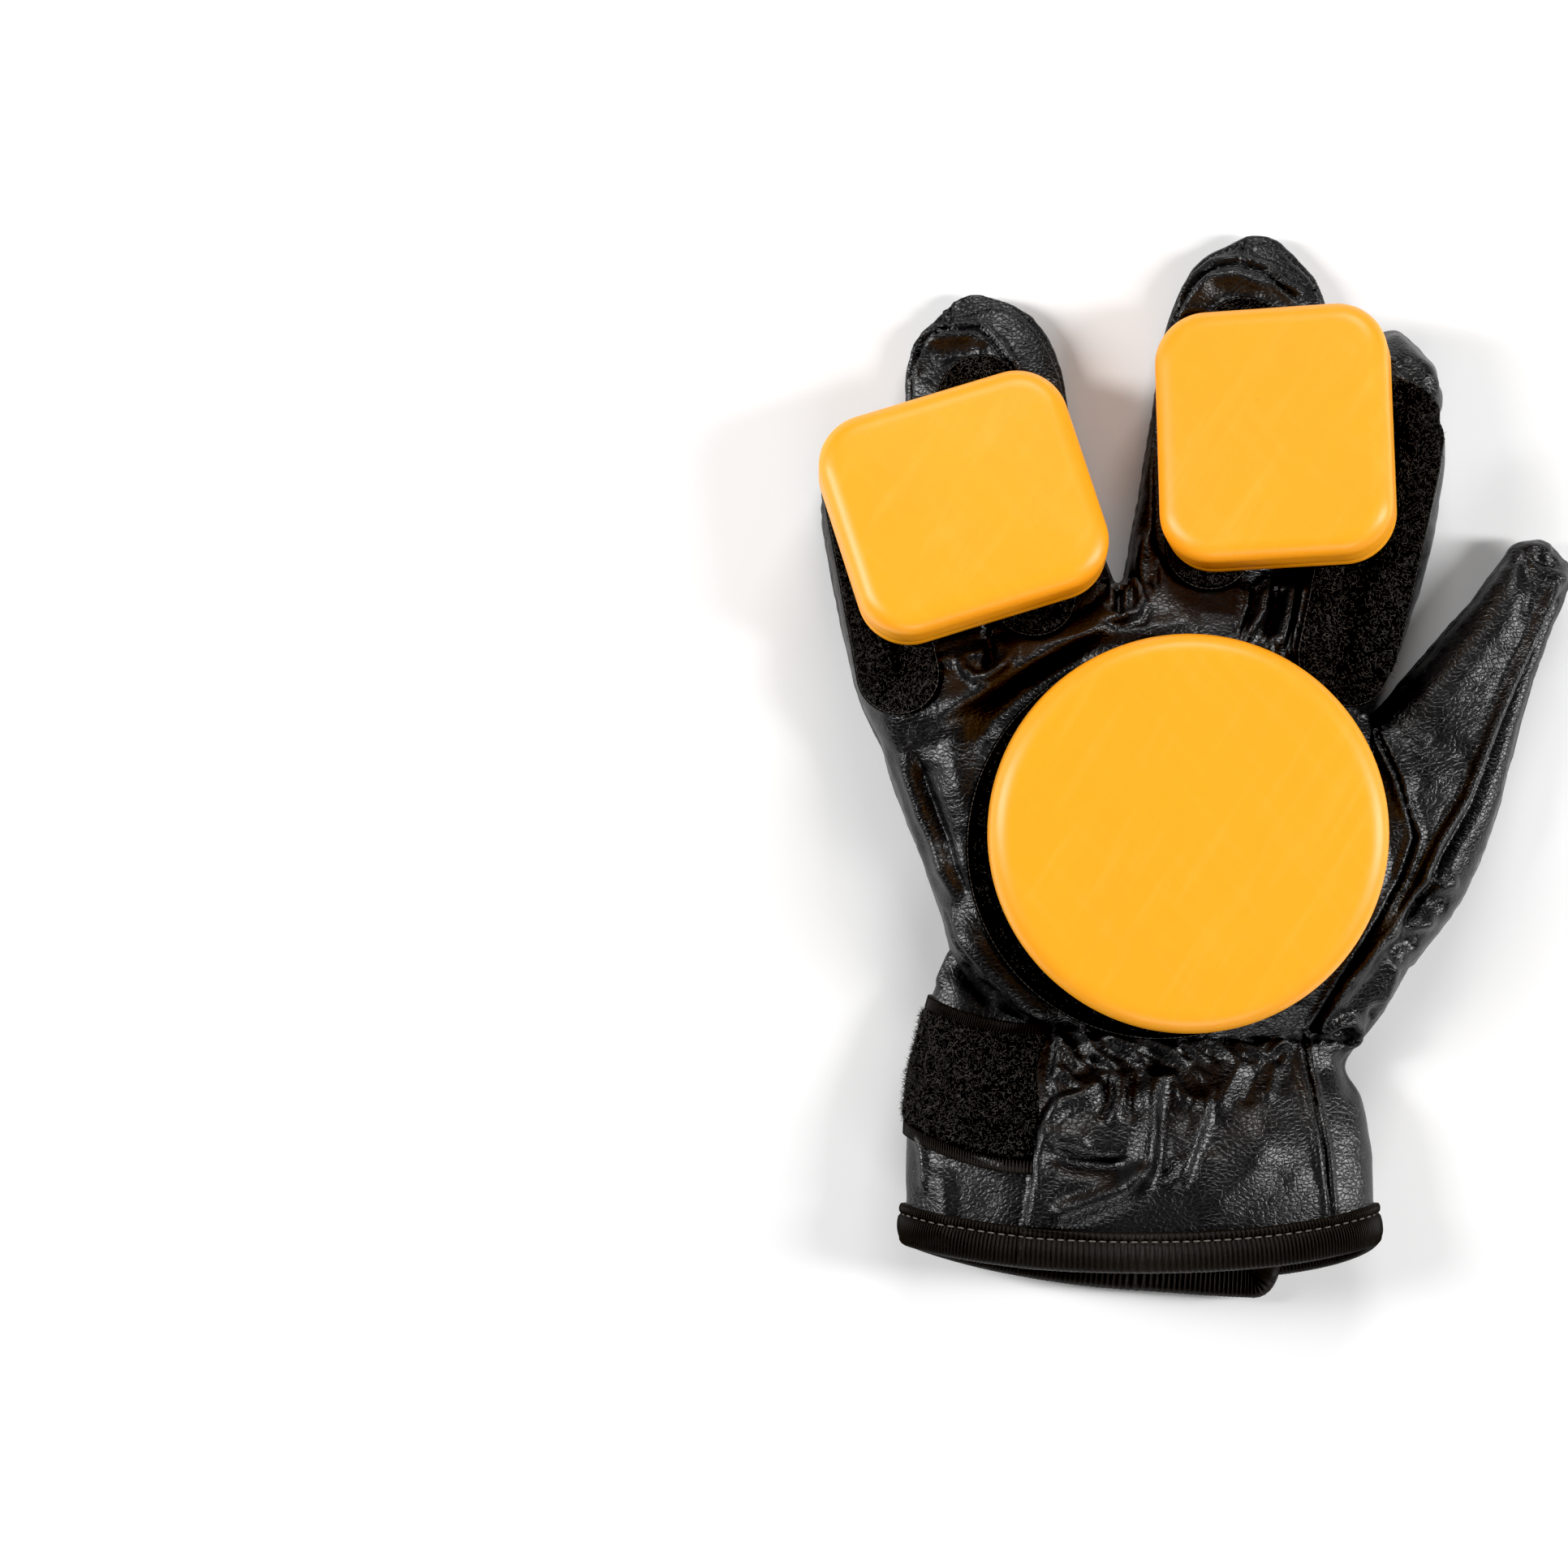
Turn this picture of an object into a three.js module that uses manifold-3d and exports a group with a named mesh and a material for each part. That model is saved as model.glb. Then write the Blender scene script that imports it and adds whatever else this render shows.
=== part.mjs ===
// A right-hand longboard slide glove lying on its back, palm up: a sewn leather glove with a gathered wrist,
// loop patches on the palm and the four fingers, and three hard slide pucks held on them by hook pads.
// Millimetres. +X points to the thumb side, +Y to the fingertips, +Z out of the palm.
// The origin is on the surface that the glove lies on, straight below the centre of the palm puck.
import * as THREE from "three";
import { mergeVertices } from "three/addons/utils/BufferGeometryUtils.js";
import Module from "manifold-3d";

const wasm = await Module();
wasm.setup();

// Leather, cloth and the gaps between pieces
const WALL = 1.6;
const GAP = 0.3;
const PATCH_THICKNESS = 1.4;
const HOOK_THICKNESS = 1.0;
const TAPE_THICKNESS = 1.2;
const BINDING_THICKNESS = 0.8;

// Hand, from the elastic at the wrist to the roots of the fingers
const WRIST_REACH = 50;
const KNUCKLE_REACH = 60;
const PALM_WIDTH = 124;
const PALM_THICKNESS = 31;
const MIDDLE_FINGER_LENGTH = 116;
const SEAM_HEIGHT = 11;
const SEAM_DROP_DEG = 1.6;

// Cuff, from the elastic to the hem
const CUFF_LENGTH = 48;
const CUFF_WIDTH = 114;
const CUFF_HEIGHT = 34;
const CUFF_OFFSET = -9.7;
const CUFF_LAP = 22;
const HEM_SAG = 5;
const HEM_FLAP_DROP = 7;
const HEM_FLAP_SKEW = 5.5;
const HEM_TAB_DROP = 11;
const GATHER_COUNT = 6;
const GATHER_DEPTH = 1.5;
// The back's two layers, as angles round the cuff: where the slit starts and how far the tab's end is slanted
const SLIT_START_DEG = 307;
const SLIT_WIDTH_DEG = 2;
const TAB_REACH_DEG = 45;
const LAYERS_PART_DEG = [165, 225];
// How far the cuff's top rises at the little finger's edge, as a share of the reach from there to the elastic
const ULNAR_RISE = 0.48;
const BINDING_WIDTH = 7;

// Pucks and their pads
const PALM_PUCK_DIAMETER = 95;
const PALM_PUCK_THICKNESS = 15;
const FINGER_PUCK_LONG = 62;
const FINGER_PUCK_SHORT = 56;
const FINGER_PUCK_THICKNESS = 15;
const PUCK_CORNER = 12.5;
const PUCK_EDGE = 3.6;
const PUCK_FOOT_EDGE = 0.8;
const HOOK_INSET = 2.5;
const SEAT_PRESS = 1.2;
const SEAT_MARGIN = 2.6;
const PALM_PATCH_DIAMETER = 101;
const PALM_PATCH_X = -2.5;
const PALM_PATCH_Y = 1.5;

// How far a piece dips below the surface before it is flattened there
const REST_SINK = 0.7;

// How square the sections are: 2 is an ellipse
const ROUND_POWER = 2.35;
const HAND_POWER = 2.6;

// How finely the surfaces are divided
const FINGER_SIDES = 12;
const FINGER_LINING_SIDES = 8;
const HAND_SIDES = 22;
const HAND_LINING_SIDES = 12;
const CUFF_STEPS = 40;
const CUFF_ROWS = 6;
const CIRCLE_SEGMENTS = 20;
const SEAT_SEGMENTS = 14;
const PATCH_SEGMENTS = 12;
const PATCH_END_SEGMENTS = 6;
const CORNER_SEGMENTS = 3;
const EDGE_STEPS = 3;

// Digits: where each starts, its size and its sideways bow at mid length. root is a share of the knuckle reach,
// length of the middle finger's, thick of the palm's thickness, and across, wide and bow of the palm's width. lean is
// towards the thumb, in degrees, and taper is the share of its thickness that it loses on the way to its tip.
const DIGITS = {
  pinky: { across: -0.49, root: 0.267, lean: -10.6, length: 0.723, wide: 0.202, thick: 0.984, taper: 0.53, bow: -0.02 },
  ring: { across: -0.194, root: 0.467, lean: -14.8, length: 0.914, wide: 0.306, thick: 0.919, taper: 0.71, bow: -0.026 },
  middle: { across: 0.005, root: 0.5, lean: 10.3, length: 1, wide: 0.316, thick: 0.897, taper: 0.65, bow: 0 },
  index: { across: 0.232, root: 0.367, lean: 12.4, length: 0.866, wide: 0.25, thick: 1, taper: 0.24, bow: 0.048 },
  thumb: { across: 0.327, root: -0.4, lean: 28.2, length: 0.918, wide: 0.371, thick: 0.871, taper: 0.4, bow: -0.004 },
};
const FINGERS = ["pinky", "ring", "middle", "index"];

// Where one finger's leather meets the next one's, from beyond the little finger's edge of the hand to beyond the
// index finger's, and how the line between them leans. across and root are shares as those of the digits are.
const FORKS = [
  { across: -0.887, root: 0.5, lean: -10.6 },
  { across: -0.419, root: 0.783, lean: -15 },
  { across: -0.123, root: 1, lean: -2 },
  { across: 0.181, root: 0.9, lean: 13.4 },
  { across: 0.605, root: 0.567, lean: 12.4 },
];

// Sections along a finger. wide and thick are shares of its width and its tapered thickness, lift of its thickness.
const FINGER_FORM = [
  { along: 0, wide: 0.66, thick: 0.88, lift: 0 },
  { along: 0.2, wide: 0.94, thick: 1, lift: 0 },
  { along: 0.42, wide: 0.99, thick: 1, lift: 0 },
  { along: 0.62, wide: 1, thick: 1, lift: 0 },
  { along: 0.8, wide: 1, thick: 1, lift: 0 },
  { along: 0.89, wide: 0.88, thick: 0.93, lift: 0.02 },
  { along: 0.95, wide: 0.67, thick: 0.76, lift: 0.05 },
  { along: 1, wide: 0.26, thick: 0.3, lift: 0.14 },
];

const THUMB_FORM = [
  { along: 0, wide: 0.8, thick: 0.96, lift: 0 },
  { along: 0.18, wide: 0.95, thick: 1.04, lift: 0 },
  { along: 0.36, wide: 0.88, thick: 1.06, lift: 0 },
  { along: 0.52, wide: 0.71, thick: 1.04, lift: 0 },
  { along: 0.66, wide: 0.58, thick: 1, lift: 0 },
  { along: 0.8, wide: 0.46, thick: 0.98, lift: 0.02 },
  { along: 0.92, wide: 0.38, thick: 0.9, lift: 0.05 },
  { along: 0.975, wide: 0.3, thick: 0.66, lift: 0.12 },
  { along: 1, wide: 0.14, thick: 0.3, lift: 0.2 },
];

// Sections of the hand from the wrist to the knuckles. left and right are shares of the palm's width, top of its
// thickness.
const HAND_FORM = [
  { along: 0, left: -0.275, right: 0.362, top: 0.74 },
  { along: 0.046, left: -0.345, right: 0.392, top: 0.84 },
  { along: 0.111, left: -0.405, right: 0.428, top: 0.93 },
  { along: 0.185, left: -0.442, right: 0.462, top: 1 },
  { along: 0.278, left: -0.466, right: 0.475, top: 1.03 },
  { along: 0.389, left: -0.502, right: 0.468, top: 1.03 },
  { along: 0.5, left: -0.54, right: 0.435, top: 1.02 },
  { along: 0.612, left: -0.578, right: 0.388, top: 1 },
  { along: 0.714, left: -0.604, right: 0.37, top: 0.98 },
  { along: 0.816, left: -0.615, right: 0.378, top: 0.94 },
  { along: 0.91, left: -0.56, right: 0.38, top: 0.87 },
  { along: 1, left: -0.31, right: 0.36, top: 0.74 },
];

// Sections of the cuff from the elastic to the hem, as shares of its own width and height.
const CUFF_FORM = [
  { along: -0.5, left: -0.406, right: 0.479, top: 0.66 },
  { along: -0.17, left: -0.466, right: 0.479, top: 0.66 },
  { along: 0, left: -0.486, right: 0.479, top: 0.68 },
  { along: 0.15, left: -0.499, right: 0.444, top: 0.74 },
  { along: 0.3, left: -0.502, right: 0.48, top: 0.84 },
  { along: 0.5, left: -0.499, right: 0.494, top: 0.94 },
  { along: 0.8, left: -0.498, right: 0.499, top: 1 },
  { along: 1, left: -0.499, right: 0.502, top: 1 },
];

// Folds that rise from the palm's leather. x and y are shares of the palm's width and of the knuckle reach, rise of
// the palm's thickness, spread of its width.
const FOLDS = [
  { x0: -0.49, y0: 0.31, x1: -0.33, y1: 0.61, rise: 0.07, spread: 0.045 },
  { x0: -0.33, y0: 0.61, x1: -0.08, y1: 0.78, rise: 0.09, spread: 0.04 },
  { x0: -0.08, y0: 0.78, x1: 0.13, y1: 0.75, rise: 0.07, spread: 0.04 },
  { x0: 0.385, y0: 0.35, x1: 0.44, y1: -0.22, rise: 0.11, spread: 0.04 },
  { x0: 0.44, y0: -0.22, x1: 0.31, y1: -0.62, rise: 0.08, spread: 0.035 },
  { x0: -0.45, y0: 0.02, x1: -0.4, y1: -0.39, rise: 0.06, spread: 0.035 },
  { x0: -0.4, y0: -0.39, x1: -0.16, y1: -0.75, rise: 0.07, spread: 0.04 },
];

// Loop patches on the fingers: from and to are shares of the digit's length, wide and aside of its width. aside is to
// its thumb side.
const FINGER_PATCHES = {
  pinky: { from: 0.16, to: 0.9, wide: 0.72, aside: -0.06 },
  ring: { from: 0.2, to: 0.87, wide: 0.553, aside: -0.053 },
  middle: { from: 0.25, to: 0.88, wide: 0.536, aside: -0.026 },
  index: { from: 0.28, to: 0.93, wide: 0.71, aside: 0.071 },
};

// Finger pucks: the two digits that each bridges, the share of their length where it crosses them, where its centre
// is between them, its turn and its fall towards the fingertips in degrees, and whether its long side runs along them.
const FINGER_PUCKS = {
  index_puck: { low: "middle", lowAt: 0.57, high: "index", highAt: 0.71, share: 0.31, turn: 3, pitch: 11, tall: true },
  ring_puck: { low: "pinky", lowAt: 0.75, high: "ring", highAt: 0.48, share: 0.62, turn: 17, pitch: 11, tall: false },
};

// The two tapes of the closure, as steps round the cuff from the end of its inner flap and rows down from its top
const WRIST_TAPE = { fromStep: 2, toStep: 17, fromRow: 2, toRow: 5 };
const HOOK_STRIP = { fromStep: 35, toStep: 38, fromRow: 2, toRow: 5 };

const COLOURS = {
  leather: { color: 0x16151a, roughness: 0.42, metalness: 0 },
  loop: { color: 0x0e0d0e, roughness: 1, metalness: 0 },
  hook: { color: 0x141414, roughness: 0.85, metalness: 0 },
  binding: { color: 0x1a1714, roughness: 0.9, metalness: 0 },
  puck: { color: 0xf9b32f, roughness: 0.4, metalness: 0 },
};

const radians = THREE.MathUtils.degToRad;
const lerp = THREE.MathUtils.lerp;
const smooth = THREE.MathUtils.smoothstep;

// Turns a geometry into a solid for joining and cutting.
function solidOf(geometry) {
  const bare = new THREE.BufferGeometry();
  const source = geometry.index ? geometry.toNonIndexed() : geometry;
  bare.setAttribute("position", source.getAttribute("position"));
  const merged = mergeVertices(bare, 1e-4);
  return new wasm.Manifold(
    new wasm.Mesh({
      numProp: 3,
      vertProperties: merged.attributes.position.array,
      triVerts: new Uint32Array(merged.index.array),
    }),
  );
}

function geometryOf(solid) {
  const mesh = solid.getMesh();
  const geometry = new THREE.BufferGeometry();
  geometry.setAttribute("position", new THREE.BufferAttribute(Float32Array.from(mesh.vertProperties), 3));
  geometry.setIndex(new THREE.BufferAttribute(Uint32Array.from(mesh.triVerts), 1));
  return geometry;
}

// Triangles of a closed surface, turned so that they face out.
function closedGeometry(points, triangles) {
  let volume = 0;
  const cross = new THREE.Vector3();
  for (const [a, b, c] of triangles) {
    volume += points[a].dot(cross.crossVectors(points[b], points[c]));
  }
  const facing = volume < 0 ? triangles.map(([a, b, c]) => [a, c, b]) : triangles;
  const geometry = new THREE.BufferGeometry().setFromPoints(points);
  geometry.setIndex(facing.flat());
  return geometry;
}

// A solid through closed rings of points, with a flat fan over each end.
function loft(rings) {
  const sides = rings[0].length;
  const points = rings.flat();
  const triangles = [];
  for (let i = 0; i + 1 < rings.length; i++) {
    for (let j = 0; j < sides; j++) {
      const a = i * sides + j;
      const b = i * sides + ((j + 1) % sides);
      triangles.push([a, b, a + sides], [b, b + sides, a + sides]);
    }
  }
  for (const end of [0, rings.length - 1]) {
    const middle = new THREE.Vector3();
    rings[end].forEach((p) => middle.addScaledVector(p, 1 / sides));
    const tip = points.push(middle) - 1;
    for (let j = 0; j < sides; j++) {
      const a = end * sides + j;
      const b = end * sides + ((j + 1) % sides);
      triangles.push(end === 0 ? [b, a, tip] : [a, b, tip]);
    }
  }
  return closedGeometry(points, triangles);
}

// A sheet with thickness: place(i, j, side) gives its points, side 0 on one face and 1 on the other.
function sheet(columns, rows, place) {
  const points = [];
  const at = (i, j, side) => (side * (columns + 1) + i) * (rows + 1) + j;
  for (const side of [0, 1]) {
    for (let i = 0; i <= columns; i++) {
      for (let j = 0; j <= rows; j++) points.push(place(i, j, side));
    }
  }
  const triangles = [];
  const quad = (a, b, c, d) => triangles.push([a, b, c], [a, c, d]);
  for (let i = 0; i < columns; i++) {
    for (let j = 0; j < rows; j++) {
      quad(at(i, j, 0), at(i + 1, j, 0), at(i + 1, j + 1, 0), at(i, j + 1, 0));
      quad(at(i, j, 1), at(i, j + 1, 1), at(i + 1, j + 1, 1), at(i + 1, j, 1));
    }
    quad(at(i, 0, 0), at(i, 0, 1), at(i + 1, 0, 1), at(i + 1, 0, 0));
    quad(at(i, rows, 0), at(i + 1, rows, 0), at(i + 1, rows, 1), at(i, rows, 1));
  }
  for (let j = 0; j < rows; j++) {
    quad(at(0, j, 0), at(0, j + 1, 0), at(0, j + 1, 1), at(0, j, 1));
    quad(at(columns, j, 0), at(columns, j, 1), at(columns, j + 1, 1), at(columns, j + 1, 0));
  }
  return closedGeometry(points, triangles);
}

// The point of a rounded section at an angle, as shares of its half width and half height.
function rounded(angle, power) {
  const c = Math.cos(angle);
  const s = Math.sin(angle);
  return {
    across: Math.sign(c) * Math.abs(c) ** (2 / power),
    up: Math.sign(s) * Math.abs(s) ** (2 / power),
  };
}

// A column of a table of sections, read at any place along it.
function column(table, name, along) {
  const last = table.length - 1;
  const next = table.findIndex((row) => row.along >= along);
  if (next === 0) return table[0][name];
  if (next < 0) return table[last][name];
  const [a, b] = [table[next - 1], table[next]];
  return lerp(a[name], b[name], (along - a.along) / (b.along - a.along));
}

// How far the folds raise the palm's leather at a place.
function foldRise(x, y) {
  let rise = 0;
  for (const fold of FOLDS) {
    const line = new THREE.Line3(
      new THREE.Vector3(fold.x0 * PALM_WIDTH, fold.y0 * KNUCKLE_REACH, 0),
      new THREE.Vector3(fold.x1 * PALM_WIDTH, fold.y1 * KNUCKLE_REACH, 0),
    );
    const spot = new THREE.Vector3(x, y, 0);
    const near = line.closestPointToPoint(spot, true, new THREE.Vector3());
    const away = near.distanceTo(spot) / (fold.spread * PALM_WIDTH);
    rise = Math.max(rise, fold.rise * PALM_THICKNESS * Math.exp(-away * away));
  }
  return rise;
}

// The palm and back of the hand as one rounded form, grown by offset. A negative offset gives the hollow, which
// runs out through the wrist.
function handForm(offset) {
  const hollow = offset < 0;
  const sides = hollow ? HAND_LINING_SIDES : HAND_SIDES;
  const rings = HAND_FORM.map((row, i) => {
    const first = i === 0;
    const last = i === HAND_FORM.length - 1;
    let y = lerp(-WRIST_REACH, KNUCKLE_REACH, row.along);
    if (first) y -= hollow ? WALL : offset;
    if (last) y += offset;
    const middle = ((row.left + row.right) / 2) * PALM_WIDTH;
    const halfWidth = ((row.right - row.left) / 2) * PALM_WIDTH + offset;
    const halfHeight = (row.top * PALM_THICKNESS + REST_SINK) / 2;
    return Array.from({ length: sides }, (_, j) => {
      const share = rounded((j / sides) * 2 * Math.PI, HAND_POWER);
      const x = middle + halfWidth * share.across;
      const fold = hollow ? 0 : foldRise(x, y) * Math.max(share.up, 0);
      const z = halfHeight - REST_SINK + (halfHeight + offset) * share.up + fold;
      return new THREE.Vector3(x, y, Math.max(z, -offset));
    });
  });
  return solidOf(loft(rings));
}

function digitForm(name) {
  return name === "thumb" ? THUMB_FORM : FINGER_FORM;
}

// A digit's width and thickness at its root.
function digitWidth(name) {
  return DIGITS[name].wide * PALM_WIDTH;
}

function digitThickness(name) {
  return DIGITS[name].thick * PALM_THICKNESS;
}

// The middle of a digit at a share of its length, on the surface that it lies on.
function digitPoint(name, along) {
  const digit = DIGITS[name];
  const lean = radians(digit.lean);
  const aside = digit.bow * PALM_WIDTH * Math.sin(Math.PI * along);
  const reach = digit.length * MIDDLE_FINGER_LENGTH * along;
  return new THREE.Vector3(
    digit.across * PALM_WIDTH + reach * Math.sin(lean) + aside * Math.cos(lean),
    digit.root * KNUCKLE_REACH + reach * Math.cos(lean) - aside * Math.sin(lean),
    0,
  );
}

// The height of a digit's leather above the surface that it lies on.
function digitTop(name, along) {
  const thick = column(digitForm(name), "thick", along);
  const lift = column(digitForm(name), "lift", along);
  return digitThickness(name) * (thick * (1 - DIGITS[name].taper * along) + lift);
}

// One finger or thumb, grown by offset.
function digitSolid(name, offset) {
  const lean = radians(DIGITS[name].lean);
  const sides = offset < 0 ? FINGER_LINING_SIDES : FINGER_SIDES;
  const aside = new THREE.Vector3(Math.cos(lean), -Math.sin(lean), 0);
  const forward = new THREE.Vector3(Math.sin(lean), Math.cos(lean), 0);
  const rings = digitForm(name).map((row) => {
    const halfWidth = Math.max((row.wide * digitWidth(name)) / 2 + offset, GAP);
    const bottom = row.lift * digitThickness(name) - (row.lift > 0 ? 0 : REST_SINK);
    const top = digitTop(name, row.along);
    const halfHeight = Math.max((top - bottom) / 2 + offset, GAP);
    const centre = digitPoint(name, row.along).addScaledVector(forward, (2 * row.along - 1) * offset);
    return Array.from({ length: sides }, (_, j) => {
      const share = rounded((j / sides) * 2 * Math.PI, ROUND_POWER);
      const z = (top + bottom) / 2 + halfHeight * share.up;
      return centre
        .clone()
        .addScaledVector(aside, -halfWidth * share.across)
        .setZ(Math.max(z, -offset));
    });
  });
  return solidOf(loft(rings));
}

// The outline of a rounded rectangle round the middle.
function roundedOutline(width, length, corner) {
  const [w, l] = [width / 2 - corner, length / 2 - corner];
  const shape = new THREE.Shape();
  shape.absarc(w, l, corner, 0, Math.PI / 2);
  shape.absarc(-w, l, corner, Math.PI / 2, Math.PI);
  shape.absarc(-w, -l, corner, Math.PI, 1.5 * Math.PI);
  shape.absarc(w, -l, corner, 1.5 * Math.PI, 2 * Math.PI);
  return shape;
}

function circleOutline(diameter) {
  return new THREE.Shape().absarc(0, 0, diameter / 2, 0, 2 * Math.PI);
}

// The outline of a puck, or of what follows it: grown by more on every side.
function puckOutline(puck, more) {
  if (puck.round) return circleOutline(puck.width + 2 * more);
  return roundedOutline(puck.width + 2 * more, puck.length + 2 * more, PUCK_CORNER + more);
}

// The corners of a puck's outline, each of them once.
function outlinePoints(puck, more) {
  const points = puckOutline(puck, more).getPoints(puck.round ? CIRCLE_SEGMENTS : CORNER_SEGMENTS);
  return points.filter((point, i) => points.findIndex((other) => other.distanceTo(point) < GAP / 10) === i);
}

// A puck's seat: the plane that the leather is pressed to, as a turned and tilted frame.
function palmSeat() {
  return new THREE.Matrix4().makeTranslation(0, 0, PALM_THICKNESS - SEAT_PRESS);
}

function fingerSeat(puck) {
  const low = digitPoint(puck.low, puck.lowAt);
  const high = digitPoint(puck.high, puck.highAt);
  low.z = digitTop(puck.low, puck.lowAt);
  high.z = digitTop(puck.high, puck.highAt);
  const centre = low.clone().lerp(high, puck.share);
  const across = new THREE.Vector3(Math.cos(radians(puck.turn)), Math.sin(radians(puck.turn)), 0);
  const forward = new THREE.Vector3(-across.y, across.x, 0);
  const pitch = Math.tan(radians(puck.pitch));
  const step = high.clone().sub(low);
  across.z = (step.z + pitch * step.dot(forward)) / step.dot(across);
  forward.z = -pitch;
  const up = new THREE.Vector3().crossVectors(across, forward).normalize();
  across.normalize();
  const ahead = new THREE.Vector3().crossVectors(up, across);
  centre.addScaledVector(up, -SEAT_PRESS);
  return new THREE.Matrix4().makeBasis(across, ahead, up).setPosition(centre);
}

const PUCKS = {
  palm_puck: { round: true, width: PALM_PUCK_DIAMETER, thickness: PALM_PUCK_THICKNESS, seat: palmSeat() },
};
for (const [name, puck] of Object.entries(FINGER_PUCKS)) {
  PUCKS[name] = {
    round: false,
    width: puck.tall ? FINGER_PUCK_SHORT : FINGER_PUCK_LONG,
    length: puck.tall ? FINGER_PUCK_LONG : FINGER_PUCK_SHORT,
    thickness: FINGER_PUCK_THICKNESS,
    seat: fingerSeat(puck),
  };
}

// A straight prism over an outline, from one height to another, in a frame of its own.
function prism(shape, from, to, frame, segments = CORNER_SEGMENTS) {
  const geometry = new THREE.ExtrudeGeometry(shape, { depth: to - from, bevelEnabled: false, curveSegments: segments });
  return solidOf(geometry.translate(0, 0, from).applyMatrix4(frame));
}

// What the pucks press out of the leather, for a skin grown by offset.
function pressedAway(offset) {
  return Object.values(PUCKS).map((puck) =>
    prism(
      puckOutline(puck, SEAT_MARGIN - offset),
      offset,
      PALM_THICKNESS,
      puck.seat,
      puck.round ? SEAT_SEGMENTS : CORNER_SEGMENTS,
    ),
  );
}

// The hand and its four fingers, grown by offset and pressed flat under the pucks.
function handSkin(offset) {
  let skin = handForm(offset);
  for (const name of FINGERS) skin = skin.add(digitSolid(name, offset));
  for (const cut of pressedAway(offset)) skin = skin.subtract(cut);
  return skin;
}

// More than the glove's size, for what cuts right through it
const FAR = 4 * PALM_WIDTH;

// Everything on the palm's side of the seam that joins the two panels, or on the back's side of it.
function sideOfSeam(palmSide) {
  const box = new THREE.BoxGeometry(FAR, FAR, FAR);
  box.translate(0, 0, (palmSide ? 1 : -1) * (FAR / 2 + GAP / 2));
  box.rotateX(radians(-SEAM_DROP_DEG));
  return solidOf(box.translate(0, 0, SEAM_HEIGHT));
}

// The ground that one finger's leather takes beyond its forks, grown by more on each side.
function fingerZone(index, more) {
  const corner = (fork, side, reach) => {
    const lean = radians(fork.lean);
    const aside = side * more;
    return new THREE.Vector2(
      fork.across * PALM_WIDTH + reach * Math.sin(lean) + aside * Math.cos(lean),
      fork.root * KNUCKLE_REACH + reach * Math.cos(lean) - aside * Math.sin(lean),
    );
  };
  const [left, right] = [FORKS[index], FORKS[index + 1]];
  const shape = new THREE.Shape([
    corner(left, -1, -more),
    corner(right, 1, -more),
    corner(right, 1, FAR),
    corner(left, -1, FAR),
  ]);
  return prism(shape, -PALM_THICKNESS, 2 * PALM_THICKNESS, new THREE.Matrix4());
}

// How far the hem is from the palm puck's centre, at an angle round the cuff: angle 0 is its thumb side, 90 degrees
// the palm's side and 180 the little finger's side. The back's inner flap follows up to the slit; its outer tab has
// the negative angles.
function hemReach(angle) {
  const across = Math.cos(angle);
  const middle = 1 - across * across;
  let reach = WRIST_REACH + CUFF_LENGTH;
  if (angle > Math.PI) reach += HEM_FLAP_DROP * Math.sqrt(middle) + HEM_FLAP_SKEW * (1 + across);
  else if (angle < 0) reach += HEM_TAB_DROP * Math.sqrt(middle);
  else reach += HEM_SAG * middle;
  return reach;
}

// How far the cuff's upper edge is from the palm puck's centre.
function cuffTop(angle) {
  const ulnar = smooth(-Math.cos(angle), 0.45, 0.95);
  return WRIST_REACH + GAP - ulnar * ULNAR_RISE * WRIST_REACH;
}

const CUFF_FLOOR = BINDING_THICKNESS + GAP;
const LAYER_LIFT = WALL + HOOK_THICKNESS + TAPE_THICKNESS + 3 * GAP;
const LAP_START = radians(SLIT_START_DEG);
const LAP_END = radians(SLIT_START_DEG - SLIT_WIDTH_DEG - TAB_REACH_DEG - 360) - CUFF_LAP / (CUFF_WIDTH / 2);

// A point of the cuff at an angle round it and a reach from the palm puck's centre, offset out of the leather.
function cuffPoint(angle, reach, offset) {
  const along = (reach - WRIST_REACH) / CUFF_LENGTH;
  const left = column(CUFF_FORM, "left", along) * CUFF_WIDTH + CUFF_OFFSET;
  const right = column(CUFF_FORM, "right", along) * CUFF_WIDTH + CUFF_OFFSET;
  const top = column(CUFF_FORM, "top", along) * CUFF_HEIGHT;
  const lift = LAYER_LIFT * smooth(angle, ...LAYERS_PART_DEG.map(radians));
  const grown = offset - lift;
  const share = rounded(angle, ROUND_POWER);
  const front = Math.max(share.up, 0);
  const fade = Math.max(1 - Math.max(along, 0), 0) ** 1.4 * smooth(front, 0.5, 0.95);
  const gather = GATHER_DEPTH * fade * Math.cos(2 * GATHER_COUNT * angle);
  const halfHeight = (top + REST_SINK) / 2;
  return new THREE.Vector3(
    (left + right) / 2 + ((right - left) / 2 + grown) * share.across,
    -reach,
    Math.max(halfHeight - REST_SINK + CUFF_FLOOR / 2 + (halfHeight + grown) * share.up + gather, CUFF_FLOOR - grown),
  );
}

function cuffAngle(step) {
  return lerp(LAP_START, LAP_END, step / CUFF_STEPS);
}

// A point of the cuff at a step round it from the end of its inner flap and a row down from its upper edge.
function cuffSpot(i, j, offset) {
  const angle = cuffAngle(i);
  return cuffPoint(angle, lerp(cuffTop(angle), hemReach(angle), j / CUFF_ROWS), offset);
}

function cuffSheet() {
  return sheet(CUFF_STEPS, CUFF_ROWS, (i, j, side) => cuffSpot(i, j, side ? -WALL : 0));
}

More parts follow.
